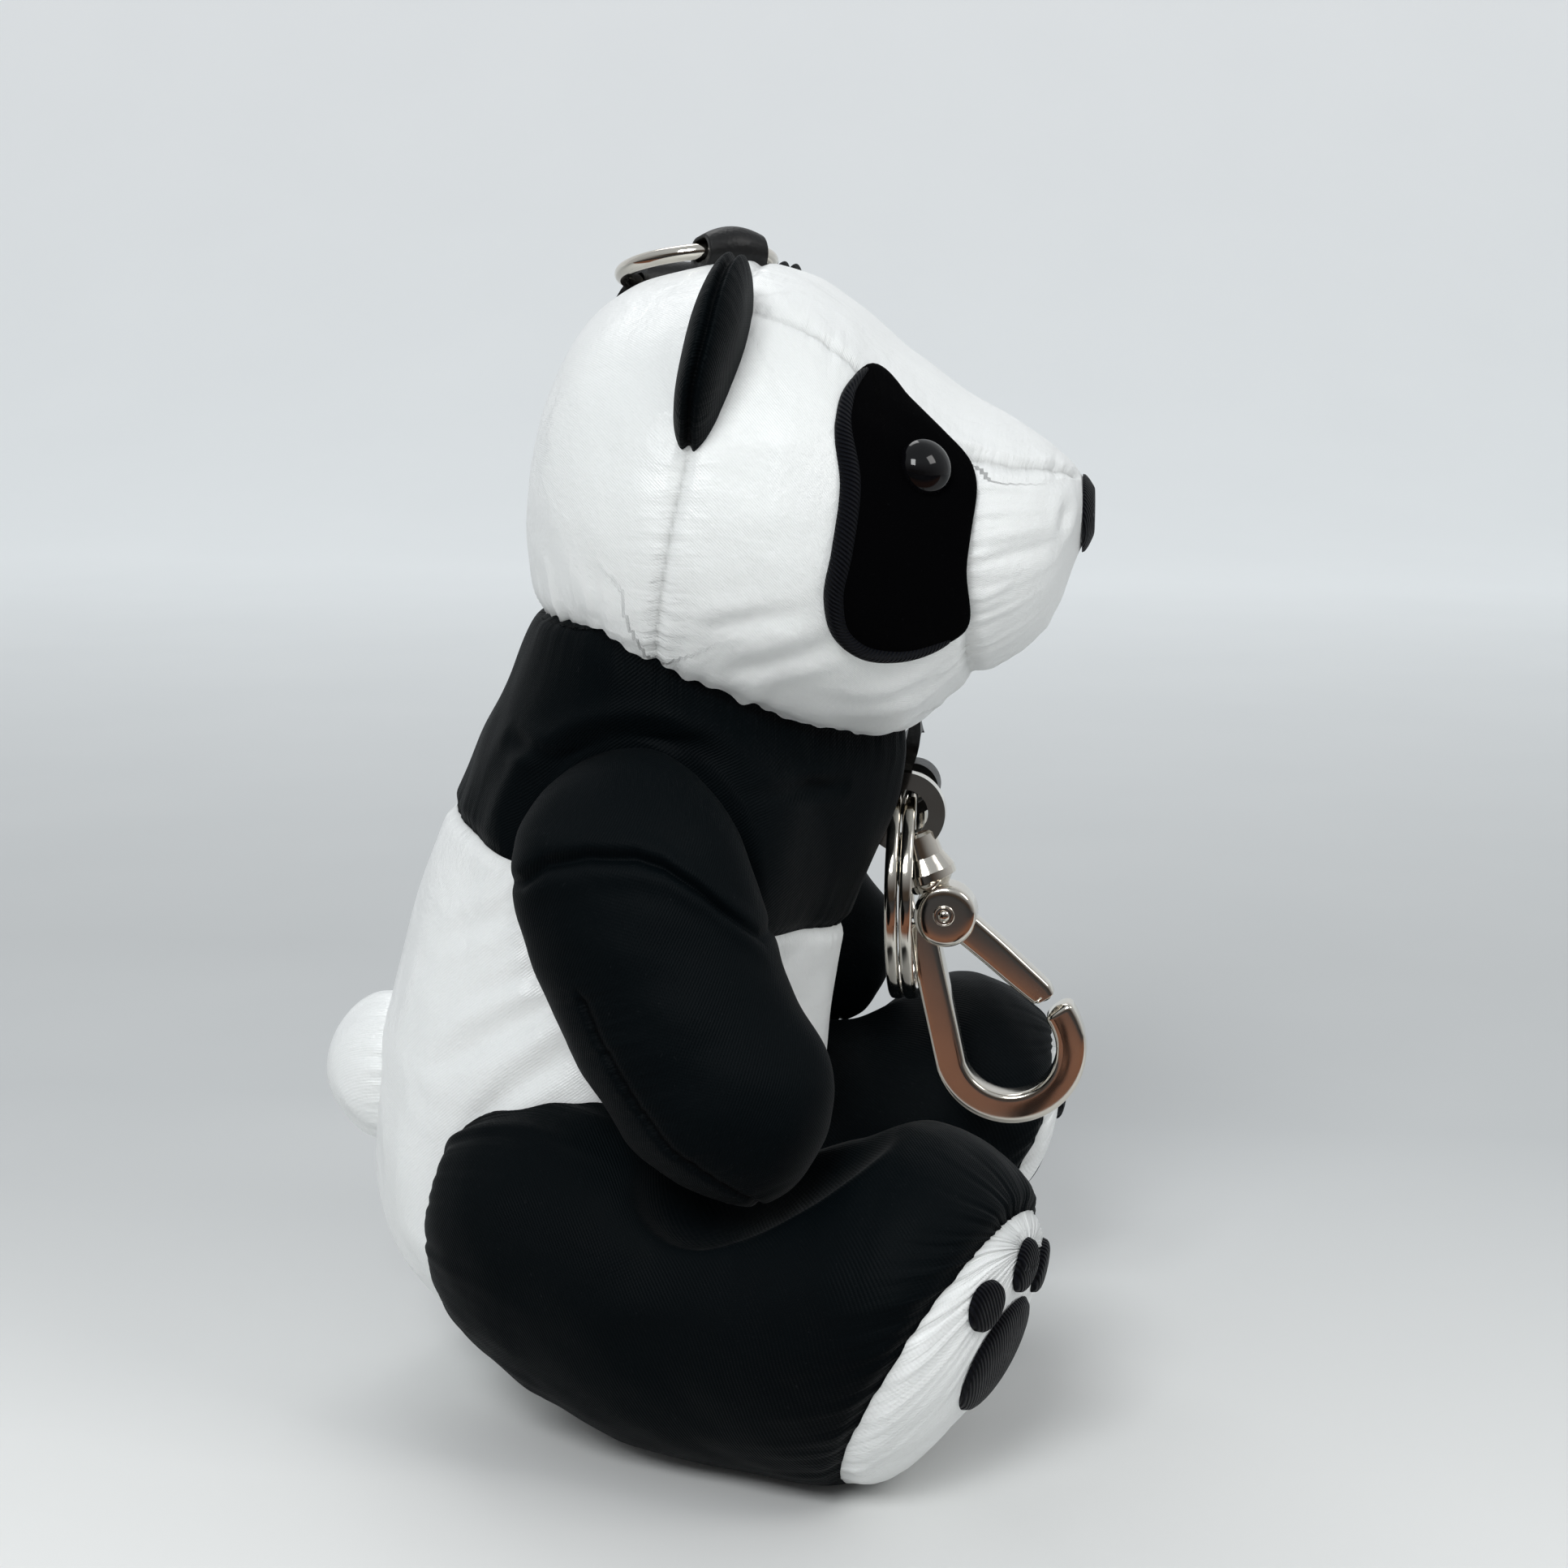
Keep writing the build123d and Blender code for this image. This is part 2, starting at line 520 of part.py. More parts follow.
def crossing(head, start, heading, end):
    """Stations of the strap from the cheek to the chest, its face turning forwards at the end."""
    stations = []
    arrival = Vector(*STRAP_ARRIVAL).normalized() * STRAP_SWING
    for step in range(1, STRAP_STATIONS + 1):
        share = step / STRAP_STATIONS
        point = unrolled(start, heading.normalized() * STRAP_SWING, end, arrival, share)
        _, _, near = Vertex(*point).distance_to_with_closest_points(head)
        turn = min(max((share - STRAP_TURN_FROM) / (1 - STRAP_TURN_FROM), 0.0), 1.0)
        turn = turn * turn * (3 - 2 * turn)
        outward = (point - near).normalized() * (1 - turn) + Vector(0, -1, 0) * turn
        stations.append((point, outward.normalized()))
    return stations


def strap_frames(frame):
    """Middle points and outward directions of the strap, from the crown ring to the key ring."""
    head = head_form(0.0)
    reach = CROWN_RING_RADIUS + TUNNEL_LENGTH / 2 + LEATHER / 2
    points = [frame.origin + frame.x_dir * reach]
    outwards = [frame.z_dir]
    lift = STRAP_LIFT + LEATHER / 2
    for from_nape, angle in STRAP_ON_HEAD:
        sine, cosine = tilt(angle)
        skin, normal = surface_point(head, Axis(head_place(from_nape, 0), (sine, 0, cosine)))
        points.append(skin + normal * lift)
        outwards.append(normal)
    hang = key_wire_place()
    top = hang + Vector(0, -STRAP_CHEST_GAP, KEY_TUNNEL_HEIGHT / 2 + STRAP_FREE_LENGTH)
    for point, outward in crossing(head, points[-1], points[-1] - points[-2], top):
        points.append(point)
        outwards.append(outward)
    points.append(hang + Vector(0, 0, KEY_TUNNEL_HEIGHT / 2 + LEATHER / 2))
    outwards.append(Vector(0, -1, 0))
    return points, outwards


def ribbon(points, outwards):
    """Flat band of leather through points, its face turned outwards."""
    faces = []
    for index, point in enumerate(points):
        before = points[max(index - 1, 0)]
        after = points[min(index + 1, len(points) - 1)]
        heading = (after - before).normalized()
        across = outwards[index].cross(heading).normalized()
        faces.append(Plane(origin=point, x_dir=across, z_dir=heading) * Rectangle(STRAP_WIDTH, LEATHER))
    return loft(faces)


def key_loop():
    """The strap's lower loop around the key ring's two turns, its tunnel along X."""
    straight = KEY_TUNNEL_DEPTH - KEY_TUNNEL_HEIGHT
    outer = SlotCenterToCenter(straight, KEY_TUNNEL_HEIGHT + 2 * LEATHER)
    inner = SlotCenterToCenter(straight, KEY_TUNNEL_HEIGHT)
    loop = extrude(outer - inner, amount=KEY_LOOP_WIDTH / 2, both=True)
    return Pos(*key_wire_place()) * Rot(0, 90, 0) * Rot(0, 0, 90) * loop


def strap(frame):
    """Leather strap with a loop at each end."""
    points, outwards = strap_frames(frame)
    return loop_on_ring(frame, 1) + ribbon(points, outwards) + key_loop()


# ---------------------------------------------------------------- rings
def crown_ring(frame):
    """Plain round ring through the crown tab and the strap."""
    return frame * Torus(CROWN_RING_RADIUS, CROWN_WIRE_RADIUS)


def key_ring():
    """Split ring: two flat turns of square wire, joined by a ramp at the lower left."""
    mean = KEY_RING_RADIUS - KEY_WIRE / 2
    pitch = KEY_TURN + KEY_TURN_GAP
    profile = Plane.XZ * Pos(mean, 0) * Rectangle(KEY_WIRE, KEY_TURN)
    turn = Rot(0, 0, 15) * revolve(profile, Axis.Z, 330)
    ramp_faces = []
    for step in range(5):
        share = step / 4
        level = pitch * (0.5 - share * share * (3 - 2 * share))
        ramp_faces.append(Rot(0, 0, -15 + 30 * share) * Pos(0, 0, level) * profile)
    ring = Pos(0, 0, pitch / 2) * turn + Pos(0, 0, -pitch / 2) * turn + loft(ramp_faces)
    middle = (KEY_RING_X, KEY_RING_Y, KEY_RING_TOP - KEY_RING_RADIUS)
    return Plane(origin=middle, x_dir=(0.87, 0, -0.5), z_dir=(0, -1, 0)) * ring


# ---------------------------------------------------------------- swivel snap hook
HOOK_SIN, HOOK_COS = tilt(HOOK_LEAN)


def hook_frame():
    """Origin on the key ring's wire in the hook's plane; X runs down the swivel, Y forwards."""
    mean = KEY_RING_RADIUS - KEY_WIRE / 2
    level = KEY_RING_TOP - KEY_RING_RADIUS + math.sqrt(mean ** 2 - HOOK_OFFSET ** 2)
    return Plane(origin=(KEY_RING_X - HOOK_OFFSET, KEY_RING_Y, level),
                 x_dir=(0, -HOOK_SIN, -HOOK_COS), z_dir=(-1, 0, 0))


HOOK_FRAME = hook_frame()


def turned(levels):
    """Solid of revolution about the swivel's axis through (level, radius) points."""
    outline = [(levels[0][0], 0), *levels, (levels[-1][0], 0)]
    return HOOK_FRAME * revolve(make_face(Polyline(*outline, close=True)), Axis.X)


def swivel_eye():
    """Eye, barrel, flange and neck, with the stem and its riveted head inside the hook."""
    loop = Circle(EYE_LOOP_OUTER) - Circle(EYE_LOOP_INNER)
    eye = HOOK_FRAME * Pos(EYE_LOOP_DROP, 0, 0) * extrude(loop, amount=EYE_LOOP_THICKNESS / 2, both=True)
    block_top = NECK_END + SWIVEL_GAP
    stem_end = block_top + HOOK_TOP_WALL + SWIVEL_GAP
    body = turned([
        (BARREL_START, BARREL_RADIUS - 0.3), (BARREL_START + 0.3, BARREL_RADIUS),
        (FLANGE_START, BARREL_RADIUS + 0.1), (FLANGE_END - 0.9, FLANGE_RADIUS),
        (FLANGE_END, FLANGE_RADIUS), (FLANGE_END + 0.2, FLANGE_RADIUS - 0.5),
        (NECK_END, BARREL_RADIUS - 0.5), (NECK_END, STEM_RADIUS), (stem_end, STEM_RADIUS),
        (stem_end, STEM_HEAD_RADIUS), (stem_end + STEM_HEAD_THICKNESS, STEM_HEAD_RADIUS)])
    return eye + body


def hook_outline():
    """Flat outline of the hook: bar, bend and nose."""
    outer = HOOK_BEND_RADIUS + HOOK_BAR / 2
    inner = HOOK_BEND_RADIUS - HOOK_BAR / 2
    centre = (HOOK_BEND_AT, HOOK_BEND_SIDE)
    ring = Pos(*centre) * (Circle(outer) - Circle(inner))
    bend = ring & (Pos(HOOK_BEND_AT + outer, HOOK_BEND_SIDE) * Rectangle(2 * outer, 3 * outer))
    shank_side = HOOK_BEND_SIDE - HOOK_BEND_RADIUS
    top = PIN_AT + 1.0
    shank = make_face(Polyline(
        (HOOK_BEND_AT, shank_side - HOOK_BAR / 2), (HOOK_BEND_AT, shank_side + HOOK_BAR / 2),
        (top, shank_side + HOOK_BAR / 2 + 1.5), (top, shank_side - HOOK_BAR / 2 + 2.0), close=True))
    nose_side = HOOK_BEND_SIDE + HOOK_BEND_RADIUS
    nose_bar = Pos(HOOK_BEND_AT - NOSE_LENGTH / 2, nose_side) * Rectangle(NOSE_LENGTH, HOOK_BAR)
    return bend + shank + nose_bar


def head_block():
    """Rounded block at the top of the hook, around the pin and the stem."""
    block_top = NECK_END + SWIVEL_GAP
    around_pin = Pos(PIN_AT + 0.2, PIN_SIDE) * Circle(HEAD_BLOCK_RADIUS)
    level = Pos(block_top + BIG / 2, 0) * Rectangle(BIG, BIG)
    collar = Pos(block_top + 1.3, 0) * Rectangle(2.6, 2 * (BARREL_RADIUS - 0.3))
    outline = (around_pin & level) + collar
    return extrude(outline, amount=HEAD_BLOCK_THICKNESS / 2, both=True)


def hook_body():
    """Hook with the slot for its gate and the bores for the pin and the stem."""
    bar = extrude(hook_outline(), amount=HOOK_THICKNESS / 2, both=True)
    bar = chamfer(bar.faces().filter_by(Axis.Z).edges(), HOOK_EDGE)
    body = bar + head_block()
    slot_start = NECK_END + SWIVEL_GAP + HOOK_TOP_WALL
    slot_length = HOOK_BEND_AT - HOOK_BEND_RADIUS - slot_start
    slot = Pos(slot_start + slot_length / 2, HEAD_BLOCK_RADIUS) * Box(
        slot_length, 2 * HEAD_BLOCK_RADIUS + 2 * STEM_HEAD_RADIUS + 2 * SWIVEL_GAP, SLOT_WIDTH)
    pin_bore = Pos(PIN_AT, PIN_SIDE) * Cylinder(PIN_RADIUS, 2 * HEAD_BLOCK_THICKNESS)
    stem_bore = Pos(slot_start - HOOK_TOP_WALL, 0, 0) * Rot(0, 90, 0) * Cylinder(
        STEM_RADIUS + PIN_FIT, 4 * HOOK_TOP_WALL)
    return HOOK_FRAME * (body - slot - pin_bore - stem_bore)


def gate():
    """Sprung gate: a hub on the pin and a lever whose tip closes behind the nose."""
    nose_inner = HOOK_BEND_SIDE + HOOK_BEND_RADIUS - HOOK_BAR / 2
    nose_top = HOOK_BEND_AT - NOSE_LENGTH
    reach = math.hypot(nose_top - PIN_AT, nose_inner - PIN_SIDE) - GATE_GAP
    inner_side = nose_inner - GATE_GAP
    step_at = PIN_AT + math.sqrt(reach ** 2 - (inner_side - PIN_SIDE) ** 2)
    outer_side = nose_inner + HOOK_BAR * 0.55
    corner_at = PIN_AT + math.sqrt(reach ** 2 - (outer_side - PIN_SIDE) ** 2)
    lever = make_face(Polyline(
        (PIN_AT + 0.6, PIN_SIDE - GATE_HUB_RADIUS * 0.85),
        (step_at + 1.3, inner_side - GATE_WIDTH * 0.35), (step_at + 1.3, inner_side),
        (step_at, inner_side), (corner_at, outer_side),
        (PIN_AT + 1.2, PIN_SIDE + GATE_HUB_RADIUS + 2.0), (PIN_AT - 0.4, PIN_SIDE + GATE_HUB_RADIUS * 0.9),
        close=True))
    outline = lever + Pos(PIN_AT, PIN_SIDE) * Circle(GATE_HUB_RADIUS)
    bore = Pos(PIN_AT, PIN_SIDE) * Cylinder(PIN_RADIUS + PIN_FIT, 2 * GATE_THICKNESS)
    solid = extrude(outline, amount=GATE_THICKNESS / 2, both=True) - bore
    return HOOK_FRAME * (solid - spring_room())


def spring_room():
    """Recess in the gate's hub for the torsion spring."""
    depth = SPRING_WIRE * SPRING_TURNS * 1.1 + 0.25
    radius = GATE_HUB_RADIUS + 0.6
    return Pos(PIN_AT, PIN_SIDE, GATE_THICKNESS / 2 - depth / 2) * Cylinder(radius, depth)


def gate_spring():
    """Torsion spring around the pin."""
    pitch = SPRING_WIRE * 1.1
    radius = PIN_RADIUS + SPRING_WIRE
    coil = Helix(pitch, pitch * SPRING_TURNS, radius)
    wire = sweep(Plane(origin=coil @ 0, z_dir=coil % 0) * Circle(SPRING_WIRE / 2), coil, is_frenet=True)
    level = GATE_THICKNESS / 2 - pitch * SPRING_TURNS - SPRING_WIRE / 2
    return HOOK_FRAME * Pos(PIN_AT, PIN_SIDE, level) * wire


def gate_pin():
    """Rivet that the gate turns on, flush with the block."""
    return HOOK_FRAME * Pos(PIN_AT, PIN_SIDE) * Cylinder(PIN_RADIUS, HEAD_BLOCK_THICKNESS)


# ---------------------------------------------------------------- assembly of the soft body
def save_head():
    """Write the head's panels, stuffing and everything sewn to it."""
    cover, stuffing = cover_and_stuffing(head_form, [])
    patch, border = eye_patch()
    frame = eye_frame()
    eye, washer = eye_parts(frame)
    shank_room, washer_room = eye_pocket(frame)
    ring = ring_frame()
    tab, tab_room = crown_tab(ring)
    cover = cover - shank_room - mirrored(shank_room) - tab_room
    inner = head_form(-FABRIC)
    stuffing = stuffing - (washer_room & inner) - mirrored(washer_room & inner)
    stuffing = stuffing - shank_room - mirrored(shank_room) - tab_room
    patch = patch - shank_room
    seam = ear_seam_plane()
    rear = cover - beyond(seam)
    face = cover & beyond(seam)
    gusset = face & gusset_prism()
    face = face - gusset_prism()
    save("nape_panel", largest(rear))
    save("crown_gusset", largest(gusset))
    save("face_panel_right", largest(face - beyond(Plane.YZ)))
    save("face_panel_left", largest(face & beyond(Plane.YZ)))
    save("head_stuffing", stuffing)
    for side, place in (("right", lambda shape: shape), ("left", mirrored)):
        save(f"eye_patch_{side}", place(patch))
        save(f"patch_border_{side}", place(border))
        save(f"eye_{side}", place(eye))
        save(f"eye_washer_{side}", place(washer))
        save(f"ear_{side}", place(ear()))
    save("nose", nose())
    save("crown_tab", tab)
    save("crown_ring", crown_ring(ring))
    save("strap", strap(ring))


def save_torso():
    """Write the black yoke, the white body cover, the stuffing and the tail."""
    cover, stuffing = cover_and_stuffing(torso_body, [head_form])
    sine, cosine = tilt(YOKE_SEAM_TILT)
    seam = Plane(origin=(0, 0, YOKE_SEAM_Z), x_dir=(1, 0, 0), z_dir=(0, -sine, cosine))
    save("yoke", largest(cover & beyond(seam)))
    save("body_cover", largest(cover - beyond(seam)))
    save("body_stuffing", stuffing)
    tail = Plane(origin=(0, TAIL_Y, TAIL_Z), z_dir=(0, 1, 0)) * ellipsoid(TAIL_RADIUS, TAIL_DEPTH)
    save("tail", largest(tail - torso_form(SEWN_GAP)))


def save_limbs():
    """Write the arms, the legs and their soles."""
    arm_cover = arm_form() - arm_form(-FABRIC)
    arm_stuffing = arm_form(-FABRIC - STUFFING_GAP)
    leg_cover, leg_stuffing = cover_and_stuffing(leg_form, [torso_body, arm_room, hand_sweep])
    middle = LEG_FRAME * Pos(0, FOOT_HEIGHT / 2, SOLE_FROM_HIP)
    sole_frame = Plane(middle * Rot(SOLE_LEAN, 0, 0))
    sole = leg_cover & beyond(sole_frame)
    leg_cover = leg_cover - beyond(sole_frame)
    pads = Circle(PAD_RADIUS)
    for angle in (-42, 0, 42):
        sine, cosine = tilt(angle)
        pads += Pos(TOE_SPREAD * sine, TOE_SPREAD * cosine) * Circle(TOE_RADIUS)
    prism = sole_frame * Pos(0, -2.0, 0) * extrude(pads, amount=LEG_LENGTH)
    pad = (leg_form(PAD_THICKNESS) - leg_form(SEWN_GAP)) & prism
    for side, place in (("right", lambda shape: shape), ("left", mirrored)):
        save(f"arm_cover_{side}", place(largest(arm_cover)))
        save(f"arm_stuffing_{side}", place(largest(arm_stuffing)))
        save(f"leg_cover_{side}", place(largest(leg_cover)))
        save(f"leg_stuffing_{side}", place(largest(leg_stuffing)))
        save(f"sole_{side}", place(largest(sole)))
        save(f"paw_pads_{side}", place(pad))


def save_hardware():
    """Write the key ring and the swivel snap hook."""
    save("key_ring", key_ring())
    save("swivel_eye", swivel_eye())
    save("hook_body", hook_body())
    save("gate", gate())
    save("gate_pin", gate_pin())
    save("gate_spring", gate_spring())


def main():
    """Build and write every node."""
    save_hardware()
    save_limbs()
    save_torso()
    save_head()


if __name__ == "__main__":
    main()
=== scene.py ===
"""Dress the plush panda keychain: satin panels, velvet patches, black leather and nickel hardware.

All shapes are worked out in millimetres on numpy grids and go into the meshes in metres. The toy
faces -Y, its right side is towards -X, and the origin is the middle of its flat seat.
"""
from __future__ import annotations

import logging
import math
from dataclasses import dataclass, field
from enum import Enum

import bmesh
import bpy
import numpy as np
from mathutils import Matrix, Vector


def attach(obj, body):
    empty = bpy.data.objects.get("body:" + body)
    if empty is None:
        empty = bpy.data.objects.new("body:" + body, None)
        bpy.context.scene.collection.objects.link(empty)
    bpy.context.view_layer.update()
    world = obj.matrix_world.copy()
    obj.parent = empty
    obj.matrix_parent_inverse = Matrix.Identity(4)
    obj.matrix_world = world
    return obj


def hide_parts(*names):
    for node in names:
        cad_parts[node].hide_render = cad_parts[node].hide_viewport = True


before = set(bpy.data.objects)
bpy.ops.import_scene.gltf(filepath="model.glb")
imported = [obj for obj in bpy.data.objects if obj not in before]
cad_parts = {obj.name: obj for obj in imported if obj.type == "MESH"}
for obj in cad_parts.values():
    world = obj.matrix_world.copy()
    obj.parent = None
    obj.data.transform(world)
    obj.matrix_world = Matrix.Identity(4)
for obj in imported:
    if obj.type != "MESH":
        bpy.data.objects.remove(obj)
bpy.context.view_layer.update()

LOG = logging.getLogger("panda")
MM = 0.001
TAU = 2 * math.pi
SEAM_FAR = 99.0
NO_SEAM = 9.0


class Side(Enum):
    """Side of the toy, with the sign of its X."""

    RIGHT = -1
    LEFT = 1

    @property
    def word(self) -> str:
        """Name used in the piece's name."""
        return self.name.lower()


# ------------------------------------------------------------------ numbers on grids
def monotone(knots: np.ndarray, values: np.ndarray, at: np.ndarray) -> np.ndarray:
    """Cubic pieces through rows of values, with harmonic mean slopes so that nothing overshoots.

    Args:
        knots: rising positions of the rows.
        values: one row of numbers for each knot.
        at: positions asked for, of any shape.

    Returns:
        Array of the shape of at with the row's numbers last.
    """
    gaps = np.diff(knots)[:, None]
    steps = np.diff(values, axis=0) / gaps
    slopes = np.zeros_like(values)
    slopes[0], slopes[-1] = steps[0], steps[-1]
    both = steps[:-1] * steps[1:]
    total = steps[:-1] + steps[1:]
    slopes[1:-1] = np.where(both > 0, 2 * both / np.where(both > 0, total, 1), 0)
    flat = np.clip(np.ravel(at), knots[0], knots[-1])
    low = np.clip(np.searchsorted(knots, flat) - 1, 0, len(knots) - 2)
    gap = gaps[low]
    share = (flat - knots[low])[:, None] / gap
    square, cube = share ** 2, share ** 3
    out = (values[low] * (2 * cube - 3 * square + 1) + values[low + 1] * (3 * square - 2 * cube)
           + slopes[low] * gap * (cube - 2 * square + share) + slopes[low + 1] * gap * (cube - square))
    return out.reshape(np.shape(at) + (values.shape[1],))


def smooth(low: float, high: float, x: np.ndarray) -> np.ndarray:
    """Smooth step from 0 at low to 1 at high: 3t^2 - 2t^3."""
    t = np.clip((x - low) / (high - low), 0, 1)
    return t * t * (3 - 2 * t)


def bell(x: np.ndarray, width: float) -> np.ndarray:
    """Bell of height 1: exp(-(x / width)^2)."""
    return np.exp(-(x / width) ** 2)


def rounded(wave: np.ndarray, power: float) -> np.ndarray:
    """Sine or cosine raised to a power with its sign kept: the sides of a superellipse."""
    return np.sign(wave) * np.abs(wave) ** power


def unit(v: np.ndarray) -> np.ndarray:
    """Vectors along the last axis at length 1."""
    return v / np.maximum(np.linalg.norm(v, axis=-1, keepdims=True), 1e-12)


def ripple(run: np.ndarray, pitch: float, seed: int) -> np.ndarray:
    """Uneven wave along a seam: five sines about the pitch with random phases, added and halved."""
    dice = np.random.default_rng(seed)
    total = np.zeros_like(run)
    for stretch in (0.63, 0.82, 1.0, 1.31, 1.77):
        phase = dice.uniform(0, TAU)
        total += np.sin(TAU * run / (pitch * stretch) + phase + 0.8 * np.sin(run / 9.0 + phase))
    return total / 2.5


def lumps(points: np.ndarray, size: float, seed: int) -> np.ndarray:
    """Unevenness of the filling: sines of three mixed coordinates, eight directions added."""
    dice = np.random.default_rng(seed)
    total = np.zeros(points.shape[:-1])
    for _ in range(8):
        heading = unit(dice.normal(size=3))
        total += np.sin(points @ heading * TAU / (size * dice.uniform(0.7, 1.5)) + dice.uniform(0, TAU))
    return total / 4


def groove(points: np.ndarray, start: tuple, end: tuple, width: float, depth: float) -> np.ndarray:
    """Crease along a straight stretch: a valley of the given width and depth between two low ridges,
    fading towards both ends."""
    a, b = np.array(start, float), np.array(end, float)
    line = b - a
    share = np.clip((points - a) @ line / (line @ line), 0, 1)
    away = np.linalg.norm(points - a - share[..., None] * line, axis=-1)
    fade = np.sin(np.pi * np.clip(share, 0.04, 0.96)) ** 0.6
    return depth * fade * (-bell(away, width) + 0.45 * bell(away - 1.9 * width, width))


def creases(points: np.ndarray, table: tuple) -> np.ndarray:
    """Grooves of a table added: each row holds the start, the end, the width and the depth."""
    return sum(groove(points, *row) for row in table)


def arc_lengths(points: np.ndarray, axis: int) -> np.ndarray:
    """Distance run along one direction of a grid from its first line, averaged over the other."""
    steps = np.linalg.norm(np.diff(points, axis=axis), axis=-1)
    mean = steps.mean(axis=1 - axis)
    run = np.concatenate([[0.0], np.cumsum(mean)])
    return run[:, None] if axis == 0 else run[None, :]


# ------------------------------------------------------------------ soft forms
@dataclass
class SoftForm:
    """Closed soft form: ovals carried along an axis.

    A row holds the place along the axis, the middle across and up, the half width, the rise and
    the drop. pinch narrows the lower half: x = half * sin(v) * (1 - pinch * cos(v)^2).
    """

    origin: tuple
    across: tuple
    up: tuple
    along: tuple
    rows: np.ndarray
    pinch: float = 0.0
    knots: np.ndarray = field(init=False)
    axes: np.ndarray = field(init=False)

    def __post_init__(self) -> None:
        """Close both ends with a point, and measure the rows by the length of their outline."""
        first, last = self.rows[0].copy(), self.rows[-1].copy()
        first[3:] = 0.0
        last[3:] = 0.0
        first[0] -= 0.12 * self.rows[0][3]
        last[0] += 0.12 * self.rows[-1][3]
        self.rows = np.vstack([first, self.rows, last])
        outline = np.stack([self.rows[:, 0], self.rows[:, 3] * 0.5 + self.rows[:, 4] * 0.5], axis=1)
        steps = np.linalg.norm(np.diff(outline, axis=0), axis=1)
        self.knots = np.concatenate([[0.0], np.cumsum(steps)]) / steps.sum()
        self.axes = np.array([self.across, self.up, self.along], float)

    def surface(self, u: np.ndarray, v: np.ndarray) -> np.ndarray:
        """Points at u along the outline (0 to 1) and the angle v from the rise.

        Returns:
            Points in the toy's frame, in millimetres.
        """
        at, x, y, half, rise, drop = np.moveaxis(monotone(self.knots, self.rows, u), -1, 0)
        sine, cosine = np.sin(v), np.cos(v)
        narrow = np.where(cosine < 0, 1 - self.pinch * cosine ** 2, 1.0)
        local = np.stack([x + half * sine * narrow, y + np.where(cosine > 0, rise, drop) * cosine, at], -1)
        return np.array(self.origin, float) + local @ self.axes

    def level(self, points: np.ndarray) -> np.ndarray:
        """Signed distance out of the form, roughly, in millimetres: negative inside."""
        local = (points - np.array(self.origin, float)) @ self.axes.T
        rows = self.rows[1:-1]
        at = local[..., 2]
        _, x, y, half, rise, drop = np.moveaxis(monotone(rows[:, 0], rows, at), -1, 0)
        c = local[..., 1] - y
        c = c / np.where(c > 0, rise, drop)
        narrow = np.where(c < 0, 1 - self.pinch * np.minimum(c * c, 1), 1.0)
        q = np.sqrt(((local[..., 0] - x) / (half * narrow)) ** 2 + c ** 2)
        size = np.minimum(half, (rise + drop) / 2)
        ends = np.maximum(rows[0, 0] - at, at - rows[-1, 0])
        return np.maximum((q - 1) * size, ends)

    def cast(self, start: np.ndarray, heading: np.ndarray, reach: float = 60.0) -> np.ndarray:
        """Last points of the form along rays, by halving 40 times between inside and outside."""
        low = np.zeros(start.shape[:-1])
        high = np.full(start.shape[:-1], reach)
        for _ in range(40):
            middle = (low + high) / 2
            inside = self.level(start + heading * middle[..., None]) < 0
            low = np.where(inside, middle, low)
            high = np.where(inside, high, middle)
        return start + heading * low[..., None]

    def outward(self, points: np.ndarray) -> np.ndarray:
        """Unit normals of the level function, by central differences of 0.05 mm."""
        steps = np.eye(3) * 0.05
        slope = [self.level(points + step) - self.level(points - step) for step in steps]
        return unit(np.stack(slope, -1))


@dataclass
class Seam:
    """One seam near a grid: how far away it is and where along it, both in millimetres."""

    away: np.ndarray
    run: np.ndarray
    depth: float = 0.7
    width: float = 1.1
    gather: float = 0.16
    reach: float = 4.0
    pitch: float = 2.6
    seed: int = 1

    def relief(self) -> np.ndarray:
        """Valley at the stitches, with gathers across it that fade away from the seam."""
        away = np.abs(self.away)
        wave = ripple(self.run, self.pitch, self.seed)
        return -self.depth * bell(away, self.width) + self.gather * np.exp(-away / self.reach) * wave


def nearest_seam(seams: list[Seam], shape: tuple) -> np.ndarray:
    """Run along, and distance from, the nearest of several seams, as the last axis of three."""
    best = np.full(shape, SEAM_FAR)
    run = np.zeros(shape)
    for seam in seams:
        away = np.abs(seam.away)
        closer = away < best
        best = np.where(closer, away, best)
        run = np.where(closer, seam.run, run)
    return np.stack([run, best, np.zeros(shape)], -1)


# ------------------------------------------------------------------ meshes
@dataclass
class Grid:
    """Points on a grid, with the cloth's own coordinates and the nearest seam's."""

    points: np.ndarray
    cloth: np.ndarray
    seam: np.ndarray
    wraps: bool = True
    cap_start: bool = False
    cap_end: bool = False

    def faces(self, keep: np.ndarray | None = None) -> tuple[np.ndarray, np.ndarray]:
        """Quads of the grid and the grid places of their corners.

        Args:
            keep: which cells are used, or all of them.

        Returns:
            Vertex indices and (row, column) places, four to a face.
        """
        rows, columns = self.points.shape[:2]
        cells = columns - 1
        i, j = np.meshgrid(np.arange(rows - 1), np.arange(cells), indexing="ij")
        if keep is not None:
            i, j = i[keep], j[keep]
        i, j = i.ravel(), j.ravel()
        corner_rows = np.stack([i, i + 1, i + 1, i], 1)
        corner_columns = np.stack([j, j, j + 1, j + 1], 1)
        width = cells if self.wraps else columns
        index = corner_rows * width + (corner_columns % width if self.wraps else corner_columns)
        return index, corner_rows * columns + corner_columns


